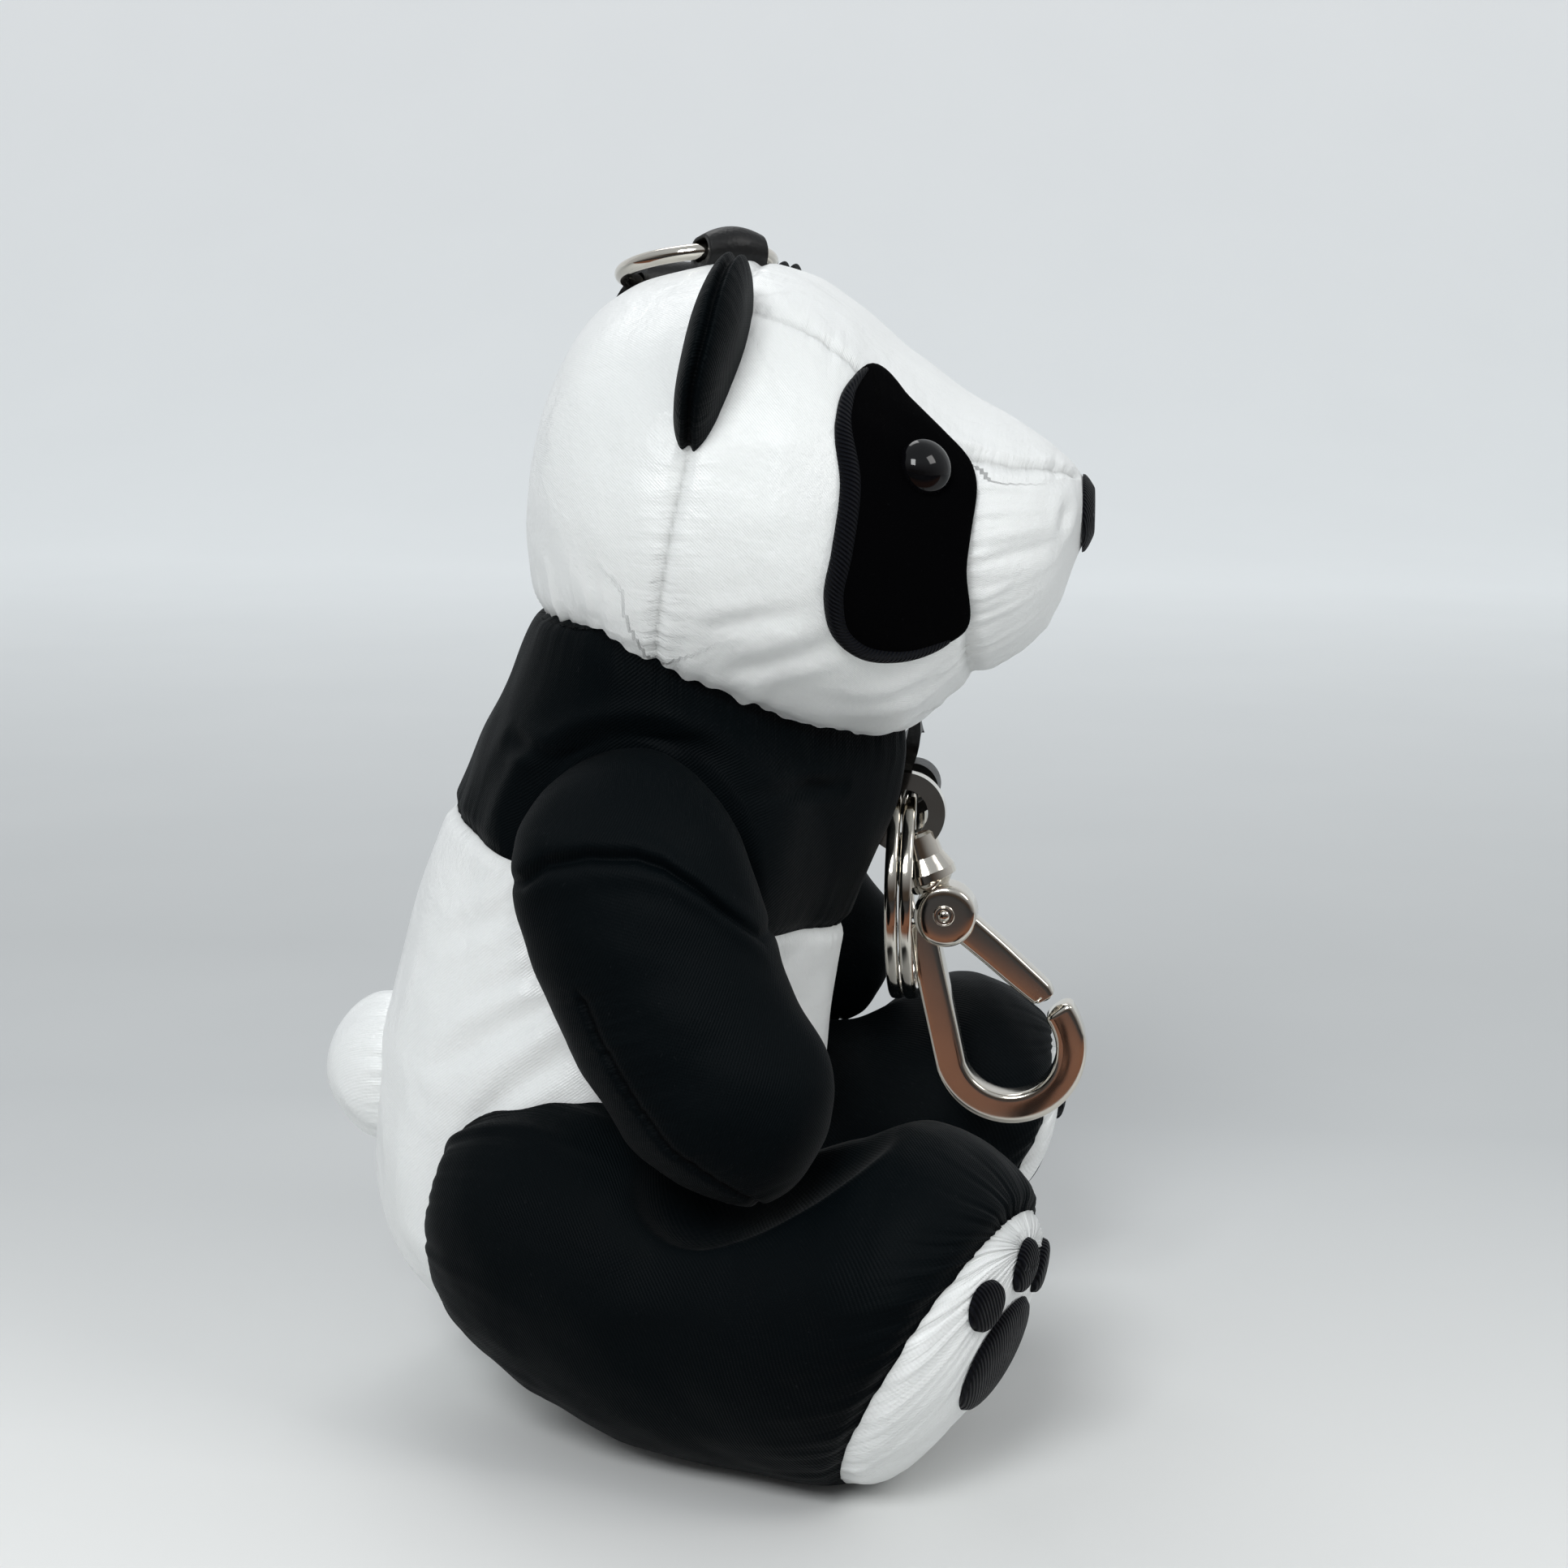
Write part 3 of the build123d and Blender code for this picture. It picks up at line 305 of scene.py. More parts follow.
def tucked(points: np.ndarray, normal: np.ndarray, cloth: np.ndarray, seam: np.ndarray, depth: float,
           at_end: bool) -> tuple[np.ndarray, np.ndarray, np.ndarray]:
    """Grid with one more row at its end or its start: the sewn edge turned in by a depth."""
    row = -1 if at_end else 0
    edge = (points[[row]] - normal[[row]] * depth, cloth[[row]], seam[[row]])
    pairs = zip((points, cloth, seam), edge)
    return tuple(np.concatenate([grid, extra] if at_end else [extra, grid]) for grid, extra in pairs)


def plain_grid(points: np.ndarray) -> Grid:
    """Grid of a hard piece with closed ends: no cloth's coordinates, and every seam far away."""
    flat = np.zeros(points.shape[:2])
    seam = np.stack([flat, flat + NO_SEAM, flat], -1)
    return Grid(points, np.stack([flat, flat], -1), seam, True, True, True)


def make_piece(name: str, grid: Grid, material: bpy.types.Material, body: str,
               nodes: tuple[str, ...] = (), keep: np.ndarray | None = None) -> bpy.types.Object:
    """Turn a grid into a smooth mesh object that rides on a body.

    Args:
        name: the piece's name.
        grid: its points and coordinates.
        material: its finish.
        body: the CAD body that it rides on.
        nodes: CAD nodes that it stands for.
        keep: cells of the grid that belong to it.

    Returns:
        The new object, at the origin.
    """
    points = grid.points[:, :-1] if grid.wraps else grid.points
    verts = points.reshape(-1, 3)
    seam = (grid.seam[:, :-1] if grid.wraps else grid.seam).reshape(-1, 3)
    quads, places = grid.faces(keep)
    faces = [tuple(q) for q in quads.tolist()]
    uv = [grid.cloth.reshape(-1, 2)[places].reshape(-1, 2)]
    columns = grid.points.shape[1] - 1
    for wanted, row in ((grid.cap_start, 0), (grid.cap_end, grid.points.shape[0] - 1)):
        if not wanted:
            continue
        hub = len(verts)
        verts = np.vstack([verts, points[row].mean(axis=0)])
        seam = np.vstack([seam, seam[row * columns]])
        ring = np.arange(columns) + row * columns
        after = np.roll(ring, -1)
        fan = np.stack([np.full(columns, hub), ring, after], 1)
        if row:
            fan = fan[:, ::-1]
        faces += [tuple(q) for q in fan.tolist()]
        middle = np.tile(grid.cloth[row].mean(axis=0), (columns * 3, 1))
        uv.append(middle)
    mesh = bpy.data.meshes.new(name)
    mesh.from_pydata((verts * MM).tolist(), [], faces)
    layer = mesh.uv_layers.new(name="cloth")
    layer.data.foreach_set("uv", (np.vstack(uv) * MM).astype(np.float32).ravel())
    attribute = mesh.attributes.new("seam", "FLOAT_VECTOR", "POINT")
    attribute.data.foreach_set("vector", seam.astype(np.float32).ravel())
    face_points(mesh)
    if keep is not None:
        drop_loose(mesh)
    mesh.shade_smooth()
    return place_piece(name, mesh, material, body, nodes)


def face_points(mesh: bpy.types.Mesh) -> None:
    """Turn the faces of an open or closed convex-like mesh so that they point outwards."""
    count = len(mesh.polygons)
    centres = np.empty(count * 3)
    normals = np.empty(count * 3)
    areas = np.empty(count)
    mesh.polygons.foreach_get("center", centres)
    mesh.polygons.foreach_get("normal", normals)
    mesh.polygons.foreach_get("area", areas)
    centres, normals = centres.reshape(-1, 3), normals.reshape(-1, 3)
    middle = (centres * areas[:, None]).sum(axis=0) / areas.sum()
    if ((centres - middle) * normals * areas[:, None]).sum() < 0:
        mesh.flip_normals()
    mesh.update()


def drop_loose(mesh: bpy.types.Mesh) -> None:
    """Remove the points that no face uses."""
    work = bmesh.new()
    work.from_mesh(mesh)
    loose = [v for v in work.verts if not v.link_faces]
    bmesh.ops.delete(work, geom=loose, context="VERTS")
    work.to_mesh(mesh)
    work.free()


def place_piece(name: str, mesh: bpy.types.Mesh, material: bpy.types.Material, body: str,
                nodes: tuple[str, ...] = ()) -> bpy.types.Object:
    """Link a mesh as a piece of the toy.

    Returns:
        The new object, at the origin.
    """
    piece = bpy.data.objects.new(name, mesh)
    bpy.context.collection.objects.link(piece)
    mesh.materials.append(material)
    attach(piece, body)
    if nodes:
        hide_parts(*nodes)
    LOG.info("%s: %d faces", name, len(mesh.polygons))
    return piece


# ------------------------------------------------------------------ node boards
class Board:
    """Node tree with short calls to add and join nodes."""

    def __init__(self, tree: bpy.types.NodeTree) -> None:
        """Work on a tree."""
        self.tree = tree

    def add(self, kind: str, inputs: dict | None = None, **settings: object) -> bpy.types.Node:
        """Add a node, set its properties, and fill its inputs with numbers or sockets."""
        node = self.tree.nodes.new(kind)
        for key, value in settings.items():
            setattr(node, key, value)
        for key, value in (inputs or {}).items():
            if isinstance(value, bpy.types.NodeSocket):
                self.tree.links.new(value, node.inputs[key])
            else:
                node.inputs[key].default_value = value
        return node

    def math(self, operation: str, *values: object) -> bpy.types.NodeSocket:
        """Result of one Math node."""
        return self.add("ShaderNodeMath", dict(enumerate(values)), operation=operation).outputs[0]

    def total(self, *terms: tuple[object, float]) -> bpy.types.NodeSocket:
        """Sum of sockets, each times its weight."""
        result = None
        for socket, weight in terms:
            part = self.math("MULTIPLY", socket, weight)
            result = part if result is None else self.math("ADD", result, part)
        return result

    def blend(self, share: object, low: object, high: object) -> bpy.types.NodeSocket:
        """Mix of two colours."""
        node = self.add("ShaderNodeMix", data_type="RGBA")
        for place, value in ((0, share), (6, low), (7, high)):
            if isinstance(value, bpy.types.NodeSocket):
                self.tree.links.new(value, node.inputs[place])
            else:
                node.inputs[place].default_value = value
        return node.outputs[2]


def new_group(name: str, inputs: dict[str, float], outputs: tuple[str, ...]) -> tuple[Board, object, object]:
    """Empty shader group with float sockets.

    Returns:
        Its board, its input node and its output node.
    """
    tree = bpy.data.node_groups.new(name, "ShaderNodeTree")
    for word, value in inputs.items():
        tree.interface.new_socket(word, in_out="INPUT", socket_type="NodeSocketFloat").default_value = value
    for word in outputs:
        tree.interface.new_socket(word, in_out="OUTPUT", socket_type="NodeSocketFloat")
    board = Board(tree)
    return board, board.add("NodeGroupInput"), board.add("NodeGroupOutput")


def weave_group() -> bpy.types.NodeTree:
    """Twill: sine of (u + v), broken up by a second sine of v, both along the cloth's coordinates."""
    board, given, out = new_group("Twill weave", {"Pitch": 0.00035}, ("Height",))
    cloth = board.add("ShaderNodeUVMap", uv_map="cloth").outputs[0]
    parts = board.add("ShaderNodeSeparateXYZ", {0: cloth}).outputs
    turn = board.math("DIVIDE", TAU, given.outputs["Pitch"])
    diagonal = board.math("SINE", board.math("MULTIPLY", board.math("ADD", parts[0], parts[1]), turn))
    thread = board.math("SINE", board.math("MULTIPLY", board.math("MULTIPLY", parts[1], 1.7), turn))
    height = board.total((diagonal, 0.7), (board.math("MULTIPLY", diagonal, thread), 0.3))
    board.tree.links.new(height, out.inputs["Height"])
    return board.tree


def gather_group() -> bpy.types.NodeTree:
    """Fine gathers by a seam: noise stretched across it, fading as exp(-distance / reach); and painted shade
    along the seam, exp(-4 × distance), for the colour.
    """
    board, given, out = new_group("Seam gathers", {"Reach": 3.0, "Fineness": 0.9}, ("Height", "Seam shade"))
    seam = board.add("ShaderNodeAttribute", attribute_name="seam").outputs["Vector"]
    parts = board.add("ShaderNodeSeparateXYZ", {0: seam}).outputs
    spread = board.add("ShaderNodeCombineXYZ", {0: parts[0], 1: board.math("MULTIPLY", parts[1], 0.18)})
    noise = board.add("ShaderNodeTexNoise", {"Vector": spread.outputs[0], "Scale": given.outputs["Fineness"],
                                              "Detail": 3.0, "Roughness": 0.6}).outputs[0]
    fade = board.math("EXPONENT", board.math("DIVIDE", board.math("MULTIPLY", parts[1], -1.0),
                                             given.outputs["Reach"]))
    height = board.math("MULTIPLY", board.math("SUBTRACT", noise, 0.5), fade)
    board.tree.links.new(height, out.inputs["Height"])
    # painted shade: darkening that falls off within a millimetre or so of the seam
    close = board.math("EXPONENT", board.math("MULTIPLY", parts[1], -4.0))
    board.tree.links.new(close, out.inputs["Seam shade"])
    return board.tree


def crumple_group() -> bpy.types.NodeTree:
    """Soft unevenness of stuffed cloth: two noises on the piece's own coordinates."""
    board, given, out = new_group("Soft crumple", {"Scale": 90.0}, ("Height", "Variation"))
    place = board.add("ShaderNodeTexCoord").outputs["Object"]
    wide = board.add("ShaderNodeTexNoise", {"Vector": place, "Scale": given.outputs["Scale"],
                                             "Detail": 4.0, "Roughness": 0.55, "Distortion": 0.4}).outputs[0]
    fine = board.add("ShaderNodeTexNoise", {"Vector": place, "Scale": 2600.0, "Detail": 2.0}).outputs[0]
    height = board.total((board.math("SUBTRACT", wide, 0.5), 1.0), (board.math("SUBTRACT", fine, 0.5), 0.06))
    board.tree.links.new(height, out.inputs["Height"])
    board.tree.links.new(wide, out.inputs["Variation"])
    return board.tree


GROUPS = {"weave": weave_group(), "gather": gather_group(), "crumple": crumple_group()}


def put_group(board: Board, name: str, **values: float) -> bpy.types.Node:
    """Place a shared group in a material with its own values."""
    node = board.add("ShaderNodeGroup", node_tree=GROUPS[name])
    for key, value in values.items():
        node.inputs[key.title()].default_value = value
    return node


def new_material(name: str) -> tuple[bpy.types.Material, Board, bpy.types.Node]:
    """Empty material with its board and its Principled shader."""
    material = bpy.data.materials.new(name)
    material.use_nodes = True
    board = Board(material.node_tree)
    return material, board, material.node_tree.nodes["Principled BSDF"]


@dataclass(frozen=True)
class ClothFinish:
    """Woven cloth, with its colour, the darker colour used for painted seam shade and random tone, its sheen
    and the strength of its weave and wrinkles in metres.
    """

    name: str
    colour: tuple[float, float, float]
    shade: tuple[float, float, float]
    roughness: float
    sheen: float
    sheen_roughness: float
    specular: float
    pitch: float = 0.00035
    weave: float = 0.000012
    gather: float = 0.00045
    crumple: float = 0.0004
    lint: float = 0.0
    reach: float = 2.6

    def material(self) -> bpy.types.Material:
        """Build the material: colour darkened towards the shade colour in the seams (painted shade) and at
        random (tone), bump from weave, gathers and crumple.
        """
        material, board, shader = new_material(self.name)
        weave = put_group(board, "weave", pitch=self.pitch).outputs["Height"]
        gather = put_group(board, "gather", reach=self.reach).outputs
        crumple = put_group(board, "crumple", scale=85.0).outputs
        height = board.total((weave, self.weave), (gather["Height"], self.gather),
                             (crumple["Height"], self.crumple))
        bump = board.add("ShaderNodeBump", {"Height": height, "Distance": 1.0, "Strength": 1.0})
        # painted shade in the seams, plus random tone from the crumple noise and the weave
        painted_shade_and_tone = board.total((gather["Seam shade"], 0.8), (crumple["Variation"], 0.12), (weave, 0.05))
        share = board.add("ShaderNodeClamp", {0: painted_shade_and_tone}).outputs[0]
        colour = board.blend(share, (*self.colour, 1), (*self.shade, 1))
        if self.lint:
            place = board.add("ShaderNodeTexCoord").outputs["Object"]
            specks = board.add("ShaderNodeTexNoise", {"Vector": place, "Scale": 1500.0, "Detail": 4.0,
                                                       "Roughness": 0.8}).outputs[0]
            seen = board.add("ShaderNodeMapRange", {0: specks, 1: 0.66, 2: 0.80}).outputs[0]
            colour = board.blend(board.math("MULTIPLY", seen, self.lint), colour, (0.35, 0.36, 0.38, 1))
        links = material.node_tree.links
        links.new(colour, shader.inputs["Base Color"])
        links.new(bump.outputs[0], shader.inputs["Normal"])
        rough = board.total((crumple["Variation"], 0.12), (weave, 0.03))
        links.new(board.math("ADD", rough, self.roughness - 0.06), shader.inputs["Roughness"])
        shader.inputs["Sheen Weight"].default_value = self.sheen
        shader.inputs["Sheen Roughness"].default_value = self.sheen_roughness
        shader.inputs["Specular IOR Level"].default_value = self.specular
        return material


@dataclass(frozen=True)
class ThreadFinish:
    """Embroidered thread: fine rope-like stitches across the cloth's first coordinate."""

    name: str
    colour: tuple[float, float, float]
    pitch: float = 0.0007
    height: float = 0.00012
    slant: float = 0.6

    def material(self) -> bpy.types.Material:
        """Build the material: sine ridges of the slanted coordinate, with painted shade darkening the grooves
        between them.
        """
        material, board, shader = new_material(self.name)
        cloth = board.add("ShaderNodeUVMap", uv_map="cloth").outputs[0]
        parts = board.add("ShaderNodeSeparateXYZ", {0: cloth}).outputs
        slanted = board.math("ADD", parts[0], board.math("MULTIPLY", parts[1], self.slant))
        ridge = board.math("SINE", board.math("MULTIPLY", slanted, TAU / self.pitch))
        crumple = put_group(board, "crumple", scale=300.0).outputs
        height = board.total((ridge, self.height), (crumple["Height"], 0.0002))
        bump = board.add("ShaderNodeBump", {"Height": height, "Distance": 1.0, "Strength": 1.0})
        # painted shade: the colour falls to a third of itself in the grooves between the ridges
        share = board.math("MULTIPLY_ADD", ridge, 0.5, 0.5)
        groove_shade = tuple(0.35 * c for c in self.colour)
        colour = board.blend(share, (*groove_shade, 1), (*self.colour, 1))
        links = material.node_tree.links
        links.new(colour, shader.inputs["Base Color"])
        links.new(bump.outputs[0], shader.inputs["Normal"])
        links.new(board.math("MULTIPLY_ADD", crumple["Variation"], 0.2, 0.4), shader.inputs["Roughness"])
        shader.inputs["Sheen Weight"].default_value = 0.01
        shader.inputs["Specular IOR Level"].default_value = 0.08
        return material


@dataclass(frozen=True)
class HardFinish:
    """Metal, moulded plastic or leather, with grain and fine wear."""

    name: str
    colour: tuple[float, float, float]
    wear: tuple[float, float, float]
    metallic: float
    roughness: float
    grain: float
    scale: float
    coat: float = 0.0
    specular: float = 0.5

    def material(self) -> bpy.types.Material:
        """Build the material: noise grain in the bump, and wear in the colour and roughness."""
        material, board, shader = new_material(self.name)
        place = board.add("ShaderNodeTexCoord").outputs["Object"]
        noise = board.add("ShaderNodeTexNoise", {"Vector": place, "Scale": self.scale, "Detail": 5.0,
                                                  "Roughness": 0.6}).outputs[0]
        cells = board.add("ShaderNodeTexVoronoi", {"Vector": place, "Scale": self.scale * 1.6}).outputs[0]
        height = board.total((noise, self.grain), (cells, self.grain * 0.8))
        bump = board.add("ShaderNodeBump", {"Height": height, "Distance": 1.0, "Strength": 1.0})
        patchy = board.add("ShaderNodeTexNoise", {"Vector": place, "Scale": self.scale * 0.12, "Detail": 6.0,
                                                   "Roughness": 0.7}).outputs[0]
        share = board.add("ShaderNodeMapRange", {0: patchy, 1: 0.45, 2: 0.75}).outputs[0]
        colour = board.blend(share, (*self.colour, 1), (*self.wear, 1))
        links = material.node_tree.links
        links.new(colour, shader.inputs["Base Color"])
        links.new(bump.outputs[0], shader.inputs["Normal"])
        links.new(board.math("MULTIPLY_ADD", share, 0.10, self.roughness), shader.inputs["Roughness"])
        shader.inputs["Metallic"].default_value = self.metallic
        shader.inputs["Coat Weight"].default_value = self.coat
        shader.inputs["Specular IOR Level"].default_value = self.specular
        return material


FINISHES = {
    "white_satin": ClothFinish("White duchesse satin", (0.84, 0.855, 0.85), (0.50, 0.51, 0.50), 0.33, 0.06,
                               0.35, 0.6, crumple=0.0009).material(),
    "black_satin": ClothFinish("Black woven satin", (0.0011, 0.0026, 0.0035), (0.0004, 0.0008, 0.0012), 0.55,
                               0.004, 0.45, 0.045, pitch=0.0004, weave=0.00002, crumple=0.0003,
                               lint=0.06).material(),
    "black_velvet": ClothFinish("Black velvet", (0.0009, 0.0009, 0.0012), (0.0004, 0.0004, 0.0005), 0.9,
                                0.004, 0.5, 0.015, weave=0.000008, gather=0.0002, lint=0.03).material(),
    "black_thread": ThreadFinish("Black embroidery", (0.0040, 0.0050, 0.0085), pitch=0.00045).material(),
    "black_gloss": HardFinish("Polished black eye", (0.0015, 0.0015, 0.002), (0.003, 0.003, 0.0035), 0.0,
                              0.03, 0.0000001, 900.0, coat=0.0, specular=0.3).material(),
    "black_leather": HardFinish("Black leather", (0.0032, 0.0034, 0.0038), (0.006, 0.006, 0.006), 0.0, 0.42,
                                0.00004, 1300.0, coat=0.03, specular=0.3).material(),
    "nickel": HardFinish("Polished nickel", (0.70, 0.665, 0.60), (0.60, 0.56, 0.50), 1.0, 0.09, 0.0000002,
                         500.0).material(),
}


# ------------------------------------------------------------------ the head
HEAD_ROWS = np.array((
    (0.000, 0.040, 0.130, 0.080), (0.012, 0.139, 0.219, 0.196), (0.052, 0.288, 0.318, 0.313),
    (0.117, 0.394, 0.388, 0.402), (0.200, 0.455, 0.447, 0.464), (0.286, 0.485, 0.477, 0.493),
    (0.398, 0.497, 0.497, 0.500), (0.493, 0.471, 0.503, 0.493), (0.579, 0.412, 0.501, 0.464),
    (0.683, 0.306, 0.475, 0.393), (0.786, 0.221, 0.376, 0.313), (0.872, 0.167, 0.314, 0.250),
    (0.934, 0.121, 0.241, 0.193), (0.979, 0.074, 0.123, 0.116), (1.000, 0.030, 0.060, 0.054)))


def head_form(length: float = 58.0, width: float = 56.0, height: float = 50.3, axis_z: float = 95.5,
              nape_y: float = 8.6) -> SoftForm:
    """The head's form, its axis from nape to nose."""
    along, rise, drop, half = HEAD_ROWS.T
    radius = (rise + drop) / 2 * height
    rows = np.stack([along * length, 0 * along, (rise - drop) / 2 * height, half * width, radius, radius], 1)
    return SoftForm((0, nape_y, axis_z), (1, 0, 0), (0, 0, 1), (0, -1, 0), rows)


TORSO_ROWS = np.array((
    (-0.012, 0.310, 0.230, 0.320), (0.036, 0.375, 0.290, 0.410), (0.107, 0.424, 0.320, 0.461),
    (0.238, 0.478, 0.345, 0.490), (0.333, 0.479, 0.359, 0.498), (0.417, 0.469, 0.371, 0.494),
    (0.500, 0.443, 0.390, 0.476), (0.595, 0.407, 0.417, 0.458), (0.690, 0.359, 0.472, 0.445),
    (0.774, 0.309, 0.512, 0.436), (0.845, 0.260, 0.529, 0.430), (0.917, 0.203, 0.534, 0.424),
    (1.000, 0.145, 0.500, 0.405)))


def torso_form(height: float = 84.0, depth: float = 58.0, width: float = 51.0) -> SoftForm:
    """The torso's form, its axis from the seat up to the neck, pinched towards the front."""
    up, back, front, half = TORSO_ROWS.T
    middle = 3.5 - 6.5 * up
    rows = np.stack([up * height, 0 * up, middle, half * width, back * depth - middle,
                     front * depth + middle], 1)
    return SoftForm((0, 0, 0), (1, 0, 0), (0, 1, 0), (0, 0, 1), rows, pinch=0.45)


HEAD = head_form()
TORSO = torso_form()


@dataclass
class Head:
    """Satin head: nape, crown gusset and two face panels, all cut from one form."""

    axis_z: float = 95.5
    nape_y: float = 8.6
    ear_seam: float = 18.6
    ear_lean: float = 11.5
    muzzle_y: float = -37.9
    rows: int = 230
    columns: int = 330
    folds: tuple = (
        ((-17.0, -38.2, 82.5), (-8.5, -43.5, 77.5), 1.0, 0.85),
        ((-17.0, -39.0, 86.0), (-12.0, -46.5, 83.5), 0.9, 0.6),
        ((-15.5, -38.5, 91.0), (-11.0, -46.5, 92.0), 1.0, 0.4),
        ((-8.0, -50.0, 98.0), (-9.0, -45.0, 92.0), 0.9, 0.45),
        ((-23.0, -26.0, 83.5), (-21.5, -14.0, 80.0), 1.2, 0.6),
        ((-25.0, -22.0, 86.5), (-26.0, -11.5, 84.0), 1.1, 0.4),
        ((-13.0, -34.0, 78.0), (-17.0, -24.0, 77.5), 1.2, 0.6),
        ((-26.5, -9.0, 84.0), (-23.0, 0.5, 83.0), 1.1, 0.5),
        ((-24.0, -11.5, 79.5), (-20.0, -2.0, 79.0), 1.0, 0.5))
    gusset: tuple = ((-60.0, 0.3), (-51.5, 0.8), (-48.4, 3.1), (-45.0, 7.6), (-42.0, 10.4), (-37.7, 12.9),
                     (-33.3, 14.0), (-30.1, 14.7), (-26.9, 15.8), (-20.9, 16.5), (-17.3, 16.6), (0.0, 16.4))

    def seams(self, p: np.ndarray) -> tuple[list[Seam], np.ndarray, np.ndarray]:
        """Seams of the head at points, with the signed places of the ear seam and the gusset."""
        x, y, z = np.moveaxis(p, -1, 0)
        lean = math.radians(self.ear_lean)
        rear = (y - (self.nape_y - self.ear_seam)) * math.cos(lean) + (z - self.axis_z) * math.sin(lean)
        around = np.arctan2(x, z - self.axis_z) * 25.0
        table = np.array(self.gusset)
        half = np.interp(y, table[:, 0], table[:, 1])
        above = smooth(self.axis_z - 1.0, self.axis_z + 3.0, z)
        edge = np.abs(np.abs(x) - half) + (1 - above) * SEAM_FAR + np.maximum(rear, 0) * 2
        outside = np.maximum(half - np.abs(x), 0)
        muzzle = np.abs(y - self.muzzle_y) + above * outside * 1.5
        chin = np.abs(x) + above * SEAM_FAR + np.maximum(rear, 0) * 2
        seams = [
            Seam(rear, around, 0.62, 0.75, 0.12, 2.0, 1.9, 11),
            Seam(edge, y, 0.5, 0.7, 0.10, 1.8, 1.8, 12),
            Seam(muzzle, around * 0.6, 0.75, 0.8, 0.18, 3.0, 2.0, 13),
            Seam(chin, y, 0.5, 0.8, 0.12, 2.4, 2.2, 14)]
        return seams, rear, np.abs(x) - half + (1 - above) * SEAM_FAR

    def make(self) -> None:
        """Build the four panels from one grid, split at its seams."""
        u = np.linspace(0, 1, self.rows)[:, None] * np.ones((1, self.columns))
        v = np.linspace(0, TAU, self.columns)[None, :] * np.ones((self.rows, 1))
        base = HEAD.surface(u, v)
        normal = HEAD.outward(base)
        seams, rear, outer = self.seams(base)
        neck = TORSO.level(base)
        away = np.where(base[..., 2] < self.axis_z - 5, np.abs(neck), SEAM_FAR)
        around = np.arctan2(base[..., 0], -base[..., 1]) * 22.0
        seams.append(Seam(away, around, 0.5, 1.6, 0.22, 3.8, 3.1, 15))
        rise = sum(seam.relief() for seam in seams)
        x = np.abs(base[..., 0])
        mirror = np.stack([-x, base[..., 1], base[..., 2]], -1)
        rise += creases(mirror, self.folds)
        rise += 0.22 * lumps(base, 17.0, 3) + 0.09 * lumps(base, 7.5, 4)
        points = base + normal * rise[..., None]
        cloth = np.stack(np.broadcast_arrays(arc_lengths(base, 0), v * 25.0), -1)
        grid = Grid(points, cloth, nearest_seam(seams, rise.shape), True, True, True)
        middle = [(a[:-1, :-1] + a[1:, 1:]) / 2 for a in (rear, outer, base[..., 0])]
        nape = middle[0] > 0
        gusset = ~nape & (middle[1] < 0)
        face = ~nape & ~gusset
        parts = (("nape_panel", nape, True, False), ("crown_gusset", gusset, False, False),
                 ("face_panel_right", face & (middle[2] < 0), False, False),
                 ("face_panel_left", face & (middle[2] >= 0), False, False))
        for name, keep, start, end in parts:
            part = Grid(grid.points, grid.cloth, grid.seam, True, start, end)
            make_piece(f"satin_{name}", part, FINISHES["white_satin"], "toy",
                       (name,), keep)


